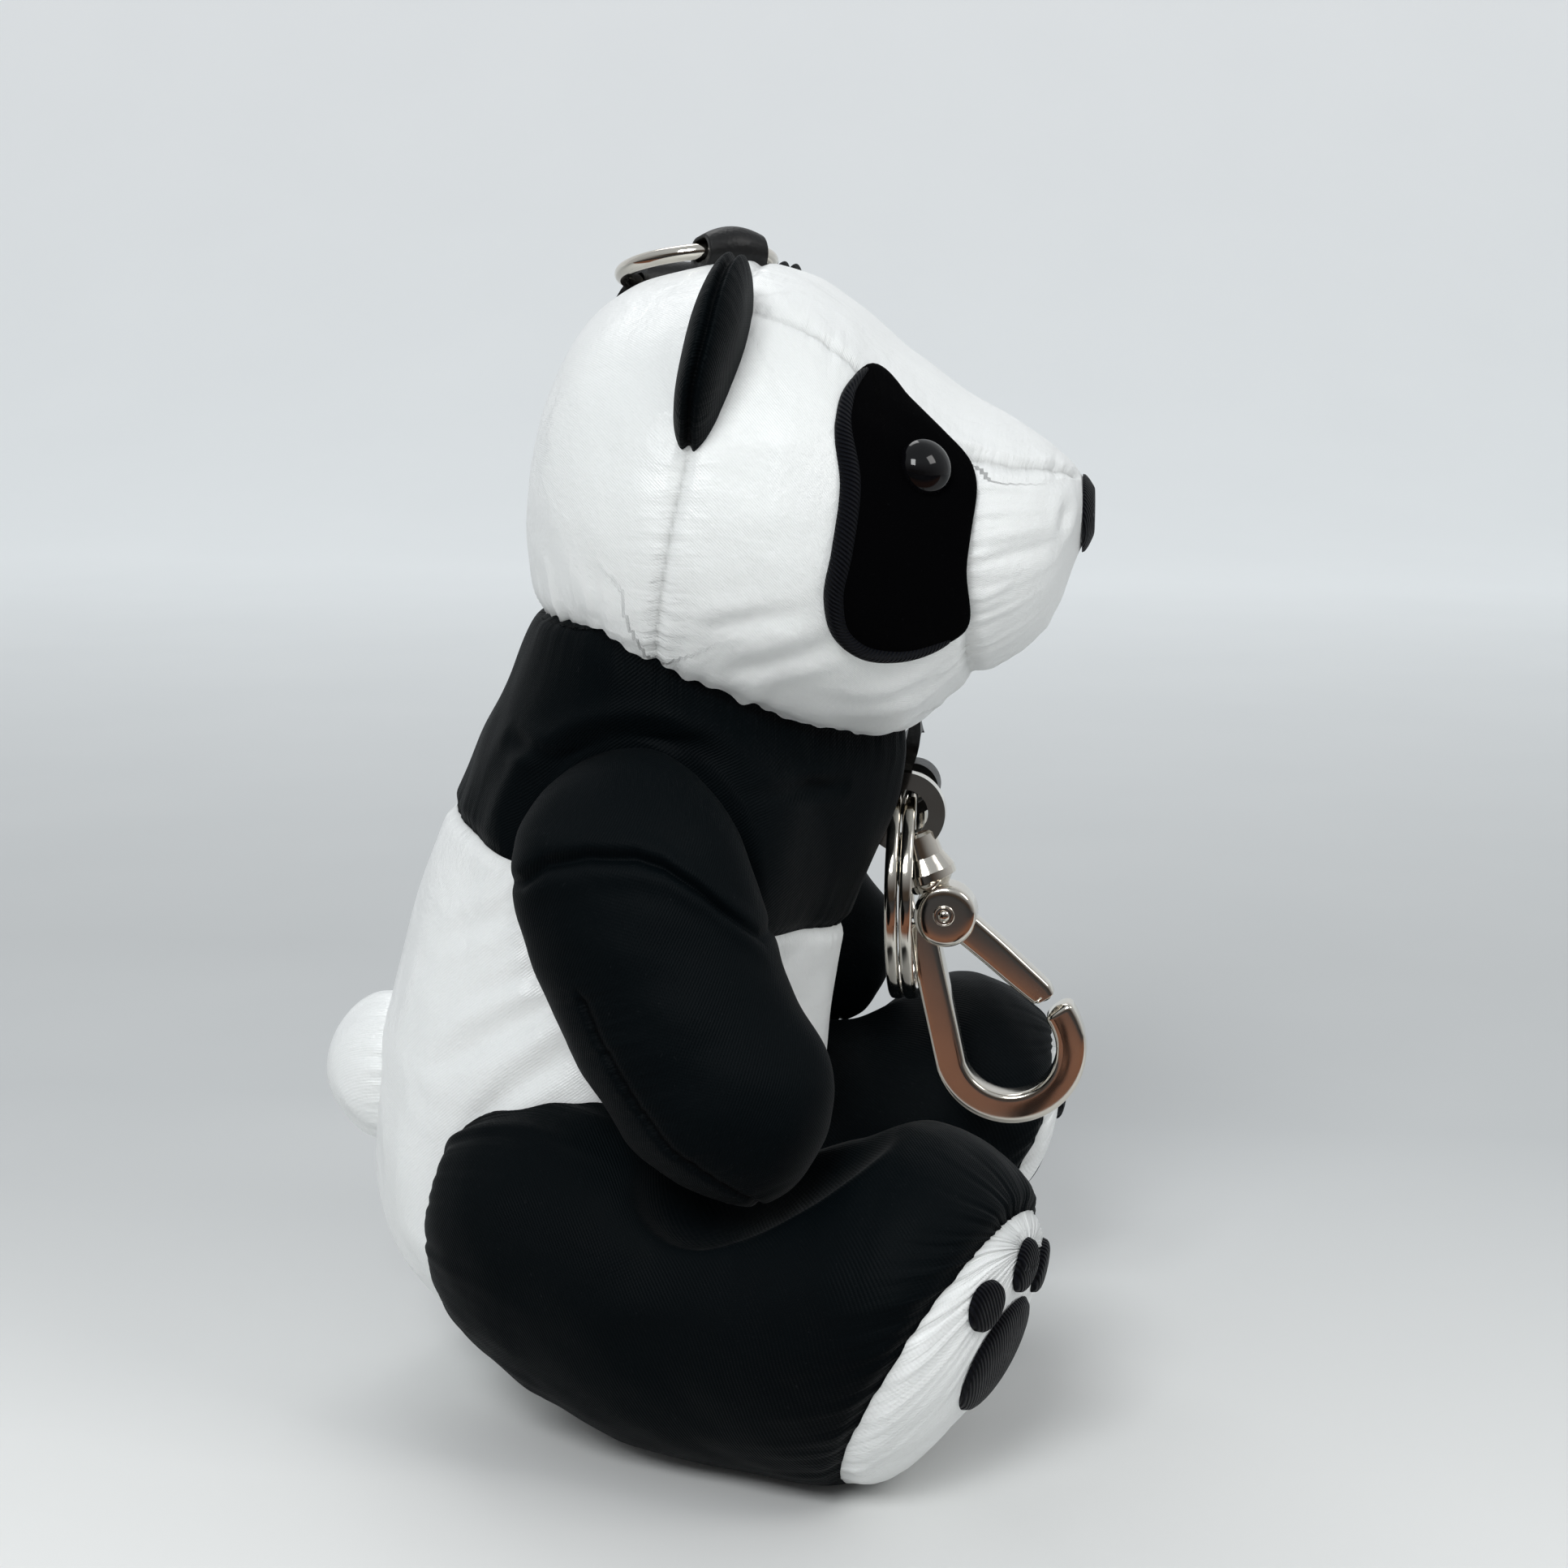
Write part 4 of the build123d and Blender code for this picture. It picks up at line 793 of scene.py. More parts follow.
@dataclass
class Trim:
    """What is sewn to the head: velvet eye patches with their rope border, eyes, nose and ears."""

    nape_y: float = 8.6
    axis_z: float = 95.5
    patch: tuple = ((35.9, 14.4), (34.3, 12.2), (33.9, 9.2), (34.8, 3.0), (34.2, -3.2), (33.4, -8.0),
                    (34.0, -11.3), (36.2, -13.5), (39.2, -14.2), (43.0, -13.6), (45.8, -12.0),
                    (46.2, -5.4), (46.2, 5.0), (43.8, 7.6), (40.1, 11.2))
    eye: tuple = (41.7, 4.3)
    eye_radius: float = 2.9
    eye_dome: float = 2.0
    nose_half: tuple = (5.2, 4.2)
    ear_radius: float = 10.8
    ear_thickness: float = 5.4
    ear_out: float = 21.0
    ear_up: float = 15.0
    ear_seam: float = 18.6
    ear_lean: float = 12.0
    seam_lean: float = 11.5

    def outline(self, count: int) -> np.ndarray:
        """Closed smooth outline of the patch, by equal shares of its length, as (y, z)."""
        knots = np.array(self.patch + self.patch[:1], float)
        loop = np.vstack([knots[-4:-1], knots, knots[1:4]])
        steps = np.concatenate([[0], np.cumsum(np.linalg.norm(np.diff(loop, axis=0), axis=1))])
        fine = np.linspace(steps[3], steps[3 + len(self.patch)], 600)
        curve = catmull(steps, loop, fine)
        length = np.concatenate([[0], np.cumsum(np.linalg.norm(np.diff(curve, axis=0), axis=1))])
        share = np.linspace(0, length[-1], count)
        from_nape = np.interp(share, length, curve[:, 0])
        up = np.interp(share, length, curve[:, 1])
        return np.stack([self.nape_y - from_nape, self.axis_z + up], -1)

    def on_side(self, yz: np.ndarray, sign: int) -> tuple[np.ndarray, np.ndarray]:
        """Points of the head's side over (y, z), with the normals there."""
        start = np.concatenate([np.zeros(yz.shape[:-1] + (1,)), yz], -1)
        heading = np.broadcast_to(np.array([float(sign), 0, 0]), start.shape)
        points = HEAD.cast(start, heading)
        return points, HEAD.outward(points)

    def make_patch(self, side: Side) -> None:
        """Velvet patch: rings of the outline shrunk to its middle, crowned by 0.5 mm."""
        ring = self.outline(161)
        middle = ring[:-1].mean(axis=0)
        share = np.linspace(0.0, 1.0, 40)[:, None, None]
        yz = middle + (ring[None] - middle) * share
        points, normal = self.on_side(yz, side.value)
        lift = 0.25 + 0.75 * np.sqrt(np.clip(1 - share[..., 0] ** 6, 0, 1))
        lift = lift + 0.12 * lumps(points, 6.0, 7)
        run = np.linspace(0, 78, 161)[None] * np.ones((40, 1))
        seam = np.stack([run, (1 - share[..., 0]) * 7 * np.ones_like(run), 0 * run], -1)
        cloth = yz.copy()
        grid = Grid(points + normal * lift[..., None], cloth, seam, True, True, False)
        make_piece(f"velvet_patch_{side.word}", grid, FINISHES["black_velvet"], "toy",
                   (f"eye_patch_{side.word}",))

    def make_border(self, side: Side) -> None:
        """Rope border: a half-round ridge, 2 mm wide, along the patch's rear and lower edges."""
        ring = self.outline(241)[:-1]
        tangent = np.roll(ring, -1, 0) - np.roll(ring, 1, 0)
        outward = unit(np.stack([tangent[:, 1], -tangent[:, 0]], -1))
        if ((ring - ring.mean(axis=0)) * outward).sum() < 0:
            outward = -outward
        want = outward @ np.array([0.85, -0.55]) > 0.05
        start = int(np.argmax(want & ~np.roll(want, 1)))
        count = int(want.sum())
        pick = (np.arange(count) + start) % len(ring)
        line, out = ring[pick], outward[pick]
        angle = np.linspace(-0.15, math.pi + 0.15, 21)
        half = 0.92 * (0.25 + 0.75 * np.sqrt(np.sin(np.pi * np.clip(np.linspace(0, 1, count), 0.0, 1.0))))
        yz = line[:, None] + out[:, None] * (-0.45 - np.cos(angle)[None, :, None] * half[:, None, None])
        points, normal = self.on_side(yz, side.value)
        lift = 0.3 + 1.05 * np.sin(angle)[None] * (half[:, None] / 0.92)
        run = np.arange(count)[:, None] * 78.0 / 240 * np.ones((1, 21))
        cloth = np.stack([run, angle[None] * 1.1 * np.ones_like(run)], -1)
        seam = np.stack([run, 0 * run + NO_SEAM, 0 * run], -1)
        grid = Grid(points + normal * lift[..., None], cloth, seam, False)
        make_piece(f"rope_border_{side.word}", grid, FINISHES["black_thread"], "toy",
                   (f"patch_border_{side.word}",))

    def make_eye(self, side: Side) -> None:
        """Domed eye: a quarter ellipse turned about the head's normal, on a low collar and its shank."""
        yz = np.array([[self.nape_y - self.eye[0], self.axis_z + self.eye[1]]])
        point, normal = self.on_side(yz, side.value)
        point, normal = point[0] + normal[0] * 0.85, normal[0]
        first = unit(np.cross(normal, [0, 0, 1.0]))
        second = np.cross(normal, first)
        turn = np.linspace(0, math.pi / 2, 26)
        profile = [(self.eye_radius * math.sin(t), self.eye_dome * math.cos(t)) for t in turn]
        profile += [(self.eye_radius + 0.05, -0.15), (self.eye_radius - 0.2, -0.45), (0.9, -0.5), (0.9, -6.8),
                    (0.02, -7.0)]
        profile[0] = (0.02, self.eye_dome)
        radius, level = np.array(profile).T[:, :, None]
        angle = np.linspace(0, TAU, 65)[None]
        points = (point + first * (radius * np.cos(angle))[..., None]
                  + second * (radius * np.sin(angle))[..., None] + normal * (level + 0 * angle)[..., None])
        make_piece(f"glass_eye_{side.word}", plain_grid(points), FINISHES["black_gloss"], "toy",
                   (f"eye_{side.word}",))

    def make_nose(self) -> None:
        """Embroidered nose: an oval on the muzzle's end, found by rays from inside the head."""
        share = np.linspace(0.0, 1.0, 28)[:, None]
        angle = np.linspace(0, TAU, 97)[None]
        x = self.nose_half[0] * share * np.sin(angle)
        z = self.axis_z - 1.0 + self.nose_half[1] * share * np.cos(angle)
        level = self.axis_z - 1.0
        start = np.stack([x * 0.6, 0 * x + self.nape_y - 50.0, level + (z - level) * 0.6], -1)
        target = np.stack([x, 0 * x + self.nape_y - 58.0, z], -1)
        heading = unit(target - start)
        points = HEAD.cast(start, heading, 14.0)
        normal = HEAD.outward(points)
        lift = 0.1 + 0.5 * np.sqrt(np.clip(1 - share ** 4, 0, 1)) * np.ones_like(x)
        cloth = np.stack([x, z], -1)
        seam = np.stack([angle * 4 * np.ones_like(x), (1 - share) * 4 * np.ones_like(x), 0 * x], -1)
        grid = Grid(points + normal * lift[..., None], cloth, seam, True, True, False)
        make_piece("stitched_nose", grid, FINISHES["black_thread"], "toy", ("nose",))

    def make_ear(self, side: Side) -> None:
        """Ear: a stuffed disc standing on the ear seam, thick in the middle and stitched at its rim."""
        lean = math.radians(self.ear_lean)
        back = self.ear_up * math.tan(math.radians(self.seam_lean))
        middle = np.array([side.value * self.ear_out, self.nape_y - self.ear_seam - back,
                           self.axis_z + self.ear_up])
        across = np.array([1.0, 0, 0])
        face = np.array([0, -math.cos(lean), -math.sin(lean)])
        up = np.cross(across, face)
        up = up if up[2] > 0 else -up
        share = np.sin(np.linspace(0, math.pi / 2, 44))
        levels = np.concatenate([share, share[-2::-1]])[:, None]
        sign = np.concatenate([np.ones(44), -np.ones(43)])[:, None]
        angle = np.linspace(0, TAU, 181)[None]
        wobble = 1 + 0.008 * np.sin(3 * angle + 1)
        x = self.ear_radius * levels * np.sin(angle) * wobble
        z = self.ear_radius * levels * np.cos(angle) * wobble
        thick = self.ear_thickness / 2 * np.sqrt(np.clip(1 - levels ** 2.6, 0, 1)) + 0 * angle
        rim = (1 - levels) * self.ear_radius
        wave = ripple(angle * self.ear_radius, 3.1, 21)
        tuck = 1 - 0.95 * bell(np.hypot(thick, rim), 0.45) / self.ear_radius
        thick = thick + 0.05 * wave * np.exp(-rim / 2.0) * 0.4 * (levels < 1)
        points = (middle + across * (x * tuck)[..., None] + up * (z * tuck)[..., None]
                  + face * (sign * thick)[..., None])
        points = points + 0.12 * lumps(points, 8.0, 22)[..., None] * face
        away = np.hypot(thick, rim)
        seam = np.stack([angle * self.ear_radius + 0 * x, away, 0 * x], -1)
        grid = Grid(points, np.stack([x, z], -1), seam, True, True, True)
        make_piece(f"satin_ear_{side.word}", grid, FINISHES["black_satin"], "toy",
                   (f"ear_{side.word}",))

    def make(self) -> None:
        """Build every piece of trim."""
        for side in Side:
            self.make_patch(side)
            self.make_border(side)
            self.make_eye(side)
            self.make_ear(side)
        self.make_nose()


def catmull(knots: np.ndarray, values: np.ndarray, at: np.ndarray) -> np.ndarray:
    """Cubic pieces through rows, with each slope taken from the two neighbours."""
    slopes = np.gradient(values, knots, axis=0)
    low = np.clip(np.searchsorted(knots, at) - 1, 0, len(knots) - 2)
    gap = (knots[low + 1] - knots[low])[:, None]
    t = (at - knots[low])[:, None] / gap
    return (values[low] * (2 * t ** 3 - 3 * t ** 2 + 1) + values[low + 1] * (3 * t ** 2 - 2 * t ** 3)
            + slopes[low] * gap * (t ** 3 - 2 * t ** 2 + t) + slopes[low + 1] * gap * (t ** 3 - t ** 2))


# ------------------------------------------------------------------ the torso
@dataclass
class Torso:
    """Black yoke over a white satin body, joined at a sloping hem, with a round tail."""

    hem_z: float = 57.5
    hem_tilt: float = 17.5
    shoulder_y: float = -5.0
    shoulder_z: float = 59.8
    seat: float = 21.0
    seat_radius: float = 12.0
    underside: float = 0.033
    underside_bend: float = 1.6
    rows: int = 150
    columns: int = 300
    tail_radius: float = 8.2
    tail_depth: float = 7.3
    tail_place: tuple = (0.0, 26.5, 32.5)
    tuck: float = 1.6
    body_folds: tuple = (
        ((-23.5, 1.5, 47.0), (-20.5, 17.5, 38.0), 1.3, 0.95),
        ((-24.5, 2.0, 41.0), (-22.5, 13.0, 32.5), 1.2, 0.85),
        ((-24.0, 1.0, 50.5), (-19.5, 12.0, 45.5), 1.1, 0.6),
        ((-21.5, 7.0, 55.0), (-16.5, 18.5, 50.5), 1.2, 0.45),
        ((-22.5, 16.0, 33.0), (-17.0, 24.0, 36.0), 1.3, 0.45))
    yoke_folds: tuple = (
        ((-17.4, -15.4, 67.4), (-9.4, -24.4, 66.6), 0.8, 0.75),
        ((-14.6, -18.2, 62.5), (-13.2, -18.7, 57.4), 0.9, 0.6),
        ((-20.2, 3.9, 71.0), (-16.8, 8.6, 71.9), 0.9, 0.6))

    def hem(self, p: np.ndarray) -> np.ndarray:
        """Signed distance above the hem's plane."""
        tilt = math.radians(self.hem_tilt)
        return (p[..., 2] - self.hem_z) * math.cos(tilt) - p[..., 1] * math.sin(tilt)

    def shaped(self, p: np.ndarray) -> np.ndarray:
        """Draw the sides out, or in, to a flat seat for each arm, and round the underside up to the back."""
        away = np.hypot(p[..., 1] - self.shoulder_y, p[..., 2] - self.shoulder_z)
        share = 1 - smooth(self.seat_radius, self.seat_radius + 6.5, away)
        x = np.abs(p[..., 0])
        wide = np.where(x > 6.0, x * (1 - share) + np.maximum(np.minimum(x, self.seat), 20.6) * share, x)
        out = p.copy()
        out[..., 0] = np.sign(p[..., 0]) * wide
        height = np.maximum(p[..., 2], 0.0)
        rear = smooth(-4.0, 8.0, p[..., 1])
        aside = 1.5 * rear * np.maximum(np.abs(p[..., 0]) - 5.0, 0.0) ** 2
        lift = self.underside * (np.maximum(p[..., 1] - 4.0, 0.0) ** 2 + aside)
        risen = lift + self.underside_bend * np.logaddexp(0, (height - lift) / self.underside_bend)
        out[..., 2] = np.where(lift > 0, np.minimum(risen, height + lift), height)
        return out

    def half(self, low: np.ndarray, high: np.ndarray, v: np.ndarray, count: int) -> tuple:
        """Grid between two lines of the outline's parameter, closer together at both ends."""
        share = (1 - np.cos(np.linspace(0, math.pi, count))) / 2 * 0.5 + np.linspace(0, 1, count) * 0.5
        u = low + (high - low) * share[:, None]
        return u, TORSO.surface(u, v[None, :] + 0 * u)

    def make(self) -> None:
        """Build the body, the yoke and the tail."""
        v = np.linspace(0, TAU, self.columns)
        low, high = np.zeros_like(v), np.ones_like(v)
        for _ in range(40):
            middle = (low + high) / 2
            over = self.hem(TORSO.surface(middle, v)) > 0
            low = np.where(over, low, middle)
            high = np.where(over, middle, high)
        for name, first, last, slot in (("body_cover", 0 * v, low, "white_satin"),
                                        ("yoke", low, 0 * v + 1, "black_satin")):
            u, base = self.half(first, last, v, self.rows)
            normal = TORSO.outward(base)
            normal = np.where(base[..., 2:3] < 1.0, np.array([0, 0, -1.0]), normal)
            around = v[None] * 24.0 + 0 * u
            hem = Seam(self.hem(base), around, 0.7, 0.9, 0.07, 3.0, 3.2, 31)
            neck = Seam(HEAD.level(base), around, 0.3, 1.5, 0.07, 3.5, 4.6, 32)
            seams = [hem, neck]
            rise = hem.relief() + neck.relief()
            mirror = np.stack([-np.abs(base[..., 0]), base[..., 1], base[..., 2]], -1)
            if slot == "white_satin":
                rise += creases(mirror, self.body_folds)
            else:
                away = np.hypot(base[..., 1] - self.shoulder_y, base[..., 2] - self.shoulder_z)
                over = smooth(1.0, 5.0, base[..., 2] - self.shoulder_z) * (np.abs(base[..., 0]) > 8)
                rise += over * (-0.9 * bell(away - 13.3, 0.7) + 0.75 * bell(away - 15.4, 1.3))
                rise += creases(mirror, self.yoke_folds)
            rise += 0.25 * lumps(base, 15.0, 33) + 0.1 * lumps(base, 7.0, 34)
            rise = rise * smooth(0.0, 5.0, base[..., 2])
            points = self.shaped(base + normal * rise[..., None])
            lower = name == "body_cover"
            cloth = np.stack(np.broadcast_arrays(arc_lengths(base, 0), around), -1)
            edged = tucked(points, normal, cloth, nearest_seam(seams, rise.shape), self.tuck, lower)
            nodes = (name, "body_stuffing" if lower else "head_stuffing")
            make_piece(f"satin_{name}", Grid(*edged, True, lower, not lower), FINISHES[slot], "toy",
                       nodes)
        self.make_tail()

    def make_tail(self) -> None:
        """Round tail: a stuffed ball gathered where it is sewn on."""
        polar = np.linspace(0, math.pi, 90)[:, None]
        angle = np.linspace(0, TAU, 161)[None]
        wave = ripple(angle * self.tail_radius, 3.0, 41)
        level = np.cos(polar)
        radius = self.tail_radius * np.sin(polar) * (1 + 0.028 * wave * smooth(0.5, -0.3, level))
        x = radius * np.sin(angle)
        z = radius * np.cos(angle)
        y = self.tail_depth * level + 0 * angle
        points = np.array(self.tail_place) + np.stack([x, y, z], -1)
        points = points + unit(np.stack([x, y, z], -1)) * 0.2 * lumps(points, 6.5, 42)[..., None]
        away = np.abs(y + 1.5) * np.ones_like(x)
        seam = np.stack([angle * self.tail_radius + 0 * x, away, 0 * x], -1)
        grid = Grid(points, np.stack([x, z], -1), seam, True, True, True)
        make_piece("satin_tail", grid, FINISHES["white_satin"], "toy", ("tail",))


# ------------------------------------------------------------------ arms and legs
@dataclass
class Arm:
    """Black satin arm, flat against its shoulder seat and sewn round its edge."""

    side: Side
    seat: float = 21.7
    hinge: tuple = (-5.0, 59.8)
    lean: float = 20.6
    rows: int = 230
    columns: int = 300
    fold: tuple = ((-8.7, -3.7), (-5.5, -4.8), (-0.9, -4.3), (3.7, -2.7), (6.0, -1.0), (8.5, 2.2),
                   (10.9, 6.5), (12.1, 8.9))
    stitches: tuple = ((5.0, -6.2), (12.2, -5.4), (14.9, -4.6), (19.7, -3.6), (23.9, -2.0), (27.7, 0.4),
                       (32.0, 3.4))
    table: tuple = (
        (-12.3, 2.3, 0.6, 1.6, 2.6), (-10.8, 6.0, 0.7, 3.4, 3.7), (-7.0, 9.8, 0.8, 5.6, 5.8),
        (0.0, 11.9, 0.8, 7.6, 7.6), (7.8, 11.6, 0.9, 8.4, 9.1), (15.6, 11.3, 1.7, 8.3, 11.1),
        (22.3, 10.8, 3.4, 7.8, 13.0), (27.2, 8.6, 3.9, 6.6, 14.0), (30.8, 5.4, 3.9, 4.6, 14.2),
        (32.8, 2.2, 3.9, 2.0, 14.2))

    def form(self) -> SoftForm:
        """The arm's smooth form, along its lean from the shoulder."""
        along, half, shift, thick, middle = np.array(self.table).T
        rows = np.stack([along, shift, middle, half, thick, thick], 1)
        lean = math.radians(self.lean)
        sign = self.side.value
        return SoftForm((sign * self.seat, *self.hinge), (0, -math.cos(lean), math.sin(lean)), (sign, 0, 0),
                        (0, -math.sin(lean), -math.cos(lean)), rows)

    def make(self) -> None:
        """Build the arm from its form, with seams at its edges and creases at the shoulder."""
        form = self.form()
        sign = self.side.value
        u = np.linspace(0, 1, self.rows)[:, None] * np.ones((1, self.columns))
        v = np.linspace(0, TAU, self.columns)[None] * np.ones((self.rows, 1))
        base = form.surface(u, v)
        normal = form.outward(base)
        local = (base - np.array(form.origin)) @ form.axes.T
        across, out, along = np.moveaxis(local, -1, 0)
        stitched = np.interp(along, *np.array(self.stitches).T)
        edge = np.abs(across - stitched) * 0.9
        edge += smooth(9.0, 5.0, out) * SEAM_FAR + smooth(9.0, 2.0, along) * 4.0
        run = arc_lengths(base, 0) + 0 * v
        seam = Seam(edge, run, 0.42, 0.45, 0.05, 2.6, 2.6, 51)
        rise = seam.relief()
        place = along - np.interp(across, *np.array(self.fold).T)
        fade = smooth(1.0, 5.0, out) * smooth(13.0, 8.5, np.abs(across - 1.2))
        crease = -0.95 * bell(place, 0.6) + 0.35 * bell(place - 1.7, 1.3) + 0.22 * bell(place + 1.6, 1.2)
        rise += fade * crease
        rise += 0.22 * lumps(base, 12.0, 52) + 0.09 * lumps(base, 5.5, 53)
        rise = rise * smooth(0.0, 3.0, out)
        points = base + normal * rise[..., None]
        inner = sign * points[..., 0]
        points[..., 0] = sign * np.maximum(inner, self.seat + 0.05)
        cloth = np.stack(np.broadcast_arrays(run, v * 11.0), -1)
        grid = Grid(points, cloth, nearest_seam([seam], rise.shape), True, True, True)
        word = self.side.word
        make_piece(f"satin_arm_{word}", grid, FINISHES["black_satin"], f"arm_{word}",
                   (f"arm_cover_{word}", f"arm_stuffing_{word}"))


@dataclass
class Leg:
    """Black satin leg lying forwards on the floor, with a white sole and an embroidered paw print."""

    side: Side
    hip: tuple = (14.0, 17.5)
    height: float = 39.4
    splay: float = 20.0
    sole_at: float = 60.6
    sole_lean: float = 29.5
    hand_at: float = 28.2
    hand_x: float = 35.7
    hand_radius: float = 7.65
    hinge: tuple = (-5.0, 59.8)
    lean: float = 20.6
    travel: float = 60.0
    tuck: float = 1.5
    rows: int = 190
    columns: int = 240
    table: tuple = (
        (2.2, 15.8, 25.2, 4.6), (3.7, 12.0, 30.0, 8.9), (6.6, 9.0, 33.8, 12.5), (11.5, 6.0, 36.6, 15.0),
        (17.5, 2.9, 37.6, 16.1), (26.0, 0.4, 35.6, 16.3), (34.0, -0.3, 32.6, 15.8), (41.5, -0.3, 32.2, 15.5),
        (48.0, 0.0, 34.8, 16.2), (53.0, 1.3, 37.0, 16.5), (56.8, 4.2, 37.0, 16.2), (59.8, 7.8, 36.0, 15.2),
        (62.6, 12.2, 34.3, 12.8), (64.8, 17.6, 32.4, 9.2), (66.2, 22.5, 30.4, 5.4), (66.8, 25.2, 28.4, 2.4))
    form: SoftForm = field(init=False)
    sole: tuple = field(init=False)

    def __post_init__(self) -> None:
        """Work out the form and the sole's plane."""
        along, bottom, top, half = np.array(self.table).T
        radius = (top - bottom) / 2
        rows = np.stack([along, 0 * along, (top + bottom) / 2, half, radius, radius], 1)
        splay = math.radians(self.splay)
        sign = self.side.value
        axis = np.array([sign * math.sin(splay), -math.cos(splay), 0.0])
        across = np.array([math.cos(splay), sign * math.sin(splay), 0.0])
        origin = (sign * self.hip[0], self.hip[1], 0)
        self.form = SoftForm(origin, tuple(across), (0, 0, 1), tuple(axis), rows)
        lean = math.radians(self.sole_lean)
        up = np.array([0, 0, 1.0])
        normal = axis * math.cos(lean) - up * math.sin(lean)
        rising = up * math.cos(lean) + axis * math.sin(lean)
        place = np.array(self.form.origin) + axis * self.sole_at + up * self.height / 2
        self.sole = (place, across, rising, normal)

    def shaped(self, p: np.ndarray) -> np.ndarray:
        """Press the thigh down where the hand lies and swings, and flatten the underside."""
        sign = self.side.value
        y, z = p[..., 1] - self.hinge[0], p[..., 2] - self.hinge[1]
        angle = np.arctan2(-y, -z)
        low = math.radians(self.lean)
        angle = np.clip(angle, low - 0.05, low + math.radians(self.travel))
        nearest = np.stack([0 * y + sign * self.hand_x, self.hinge[0] - self.hand_at * np.sin(angle),
                            self.hinge[1] - self.hand_at * np.cos(angle)], -1)
        away = p - nearest
        gap = np.linalg.norm(away, axis=-1, keepdims=True)
        push = self.hand_radius * np.logaddexp(0, (self.hand_radius - gap) / 0.6) / (self.hand_radius / 0.6)
        out = p + unit(away) * push
        out[..., 2] = np.maximum(out[..., 2], 0.0)
        return out

    def make(self) -> None:
        """Build the leg, its sole and the paw print."""
        place, _, _, outward = self.sole
        v = np.linspace(0, TAU, self.columns)
        low, high = np.full_like(v, 0.3), np.ones_like(v)
        for _ in range(40):
            middle = (low + high) / 2
            over = (self.form.surface(middle, v) - place) @ outward > 0
            low = np.where(over, low, middle)
            high = np.where(over, middle, high)
        word = self.side.word
        for name, first, last, slot, count in (("leg", 0 * v, low, "black_satin", self.rows),
                                               ("sole", low, 0 * v + 1, "white_satin", 90)):
            share = (1 - np.cos(np.linspace(0, math.pi, count))) / 4 + np.linspace(0, 1, count) / 2
            u = first + (last - first) * share[:, None]
            base = self.form.surface(u, v[None] + 0 * u)
            normal = self.form.outward(base)
            around = v[None] * 17.0 + 0 * u
            away = (base - place) @ outward
            seams = [Seam(away, around, 0.8, 1.0, 0.17, 3.4, 2.5, 61)]
            hip = Seam(TORSO.level(base), around, 0.3, 1.6, 0.22, 4.0, 3.5, 62)
            if name == "leg":
                seams.append(hip)
            rise = sum(seam.relief() for seam in seams)
            rise += 0.25 * lumps(base, 14.0, 63) + 0.1 * lumps(base, 6.5, 64)
            rise = rise * smooth(0.0, 3.0, base[..., 2])
            points = self.shaped(base + normal * rise[..., None])
            cloth = np.stack(np.broadcast_arrays(arc_lengths(base, 0), around), -1)
            edged = tucked(points, normal, cloth, nearest_seam(seams, rise.shape), self.tuck, name == "leg")
            grid = Grid(*edged, True, name == "leg", name == "sole")
            nodes = (f"leg_cover_{word}", f"leg_stuffing_{word}") if name == "leg" else (f"sole_{word}",)
            piece = make_piece(f"satin_{name}_{word}", grid, FINISHES[slot], "toy", nodes)
            piece.visible_glossy = self.side is Side.LEFT
        self.make_paw()

    def make_paw(self) -> None:
        """Paw print: one oval pad and three toes, each a low dome of stitches on the sole."""
        place, across, rising, outward = self.sole
        spots = [(0.0, -2.0, 6.2)]
        spots += [(9.6 * math.sin(a), 9.6 * math.cos(a) - 2.0, 2.5) for a in np.radians((-42, 0, 42))]
        share = np.linspace(0, 1, 16)[:, None]
        angle = np.linspace(0, TAU, 65)[None]
        for number, (x, z, radius) in enumerate(spots):
            px = x + radius * share * np.sin(angle)
            pz = z + radius * share * np.cos(angle)
            start = place + across * px[..., None] + rising * pz[..., None] - outward * 6.0
            points = self.form.cast(start, np.broadcast_to(outward, start.shape), 30.0)
            normal = self.form.outward(points)
            lift = 0.1 + 0.85 * np.sqrt(np.clip(1 - share ** 5, 0, 1)) * np.ones_like(px)
            cloth = np.stack([px * 1.0, pz], -1)
            seam = np.stack([angle * radius + 0 * px, (1 - share) * radius + 0 * px, 0 * px], -1)
            grid = Grid(points + normal * lift[..., None], cloth, seam, True, True, False)
            nodes = (f"paw_pads_{self.side.word}",) if number == 0 else ()
            make_piece(f"paw_stitching_{self.side.word}_{number}", grid, FINISHES["black_thread"], "toy",
                       nodes)


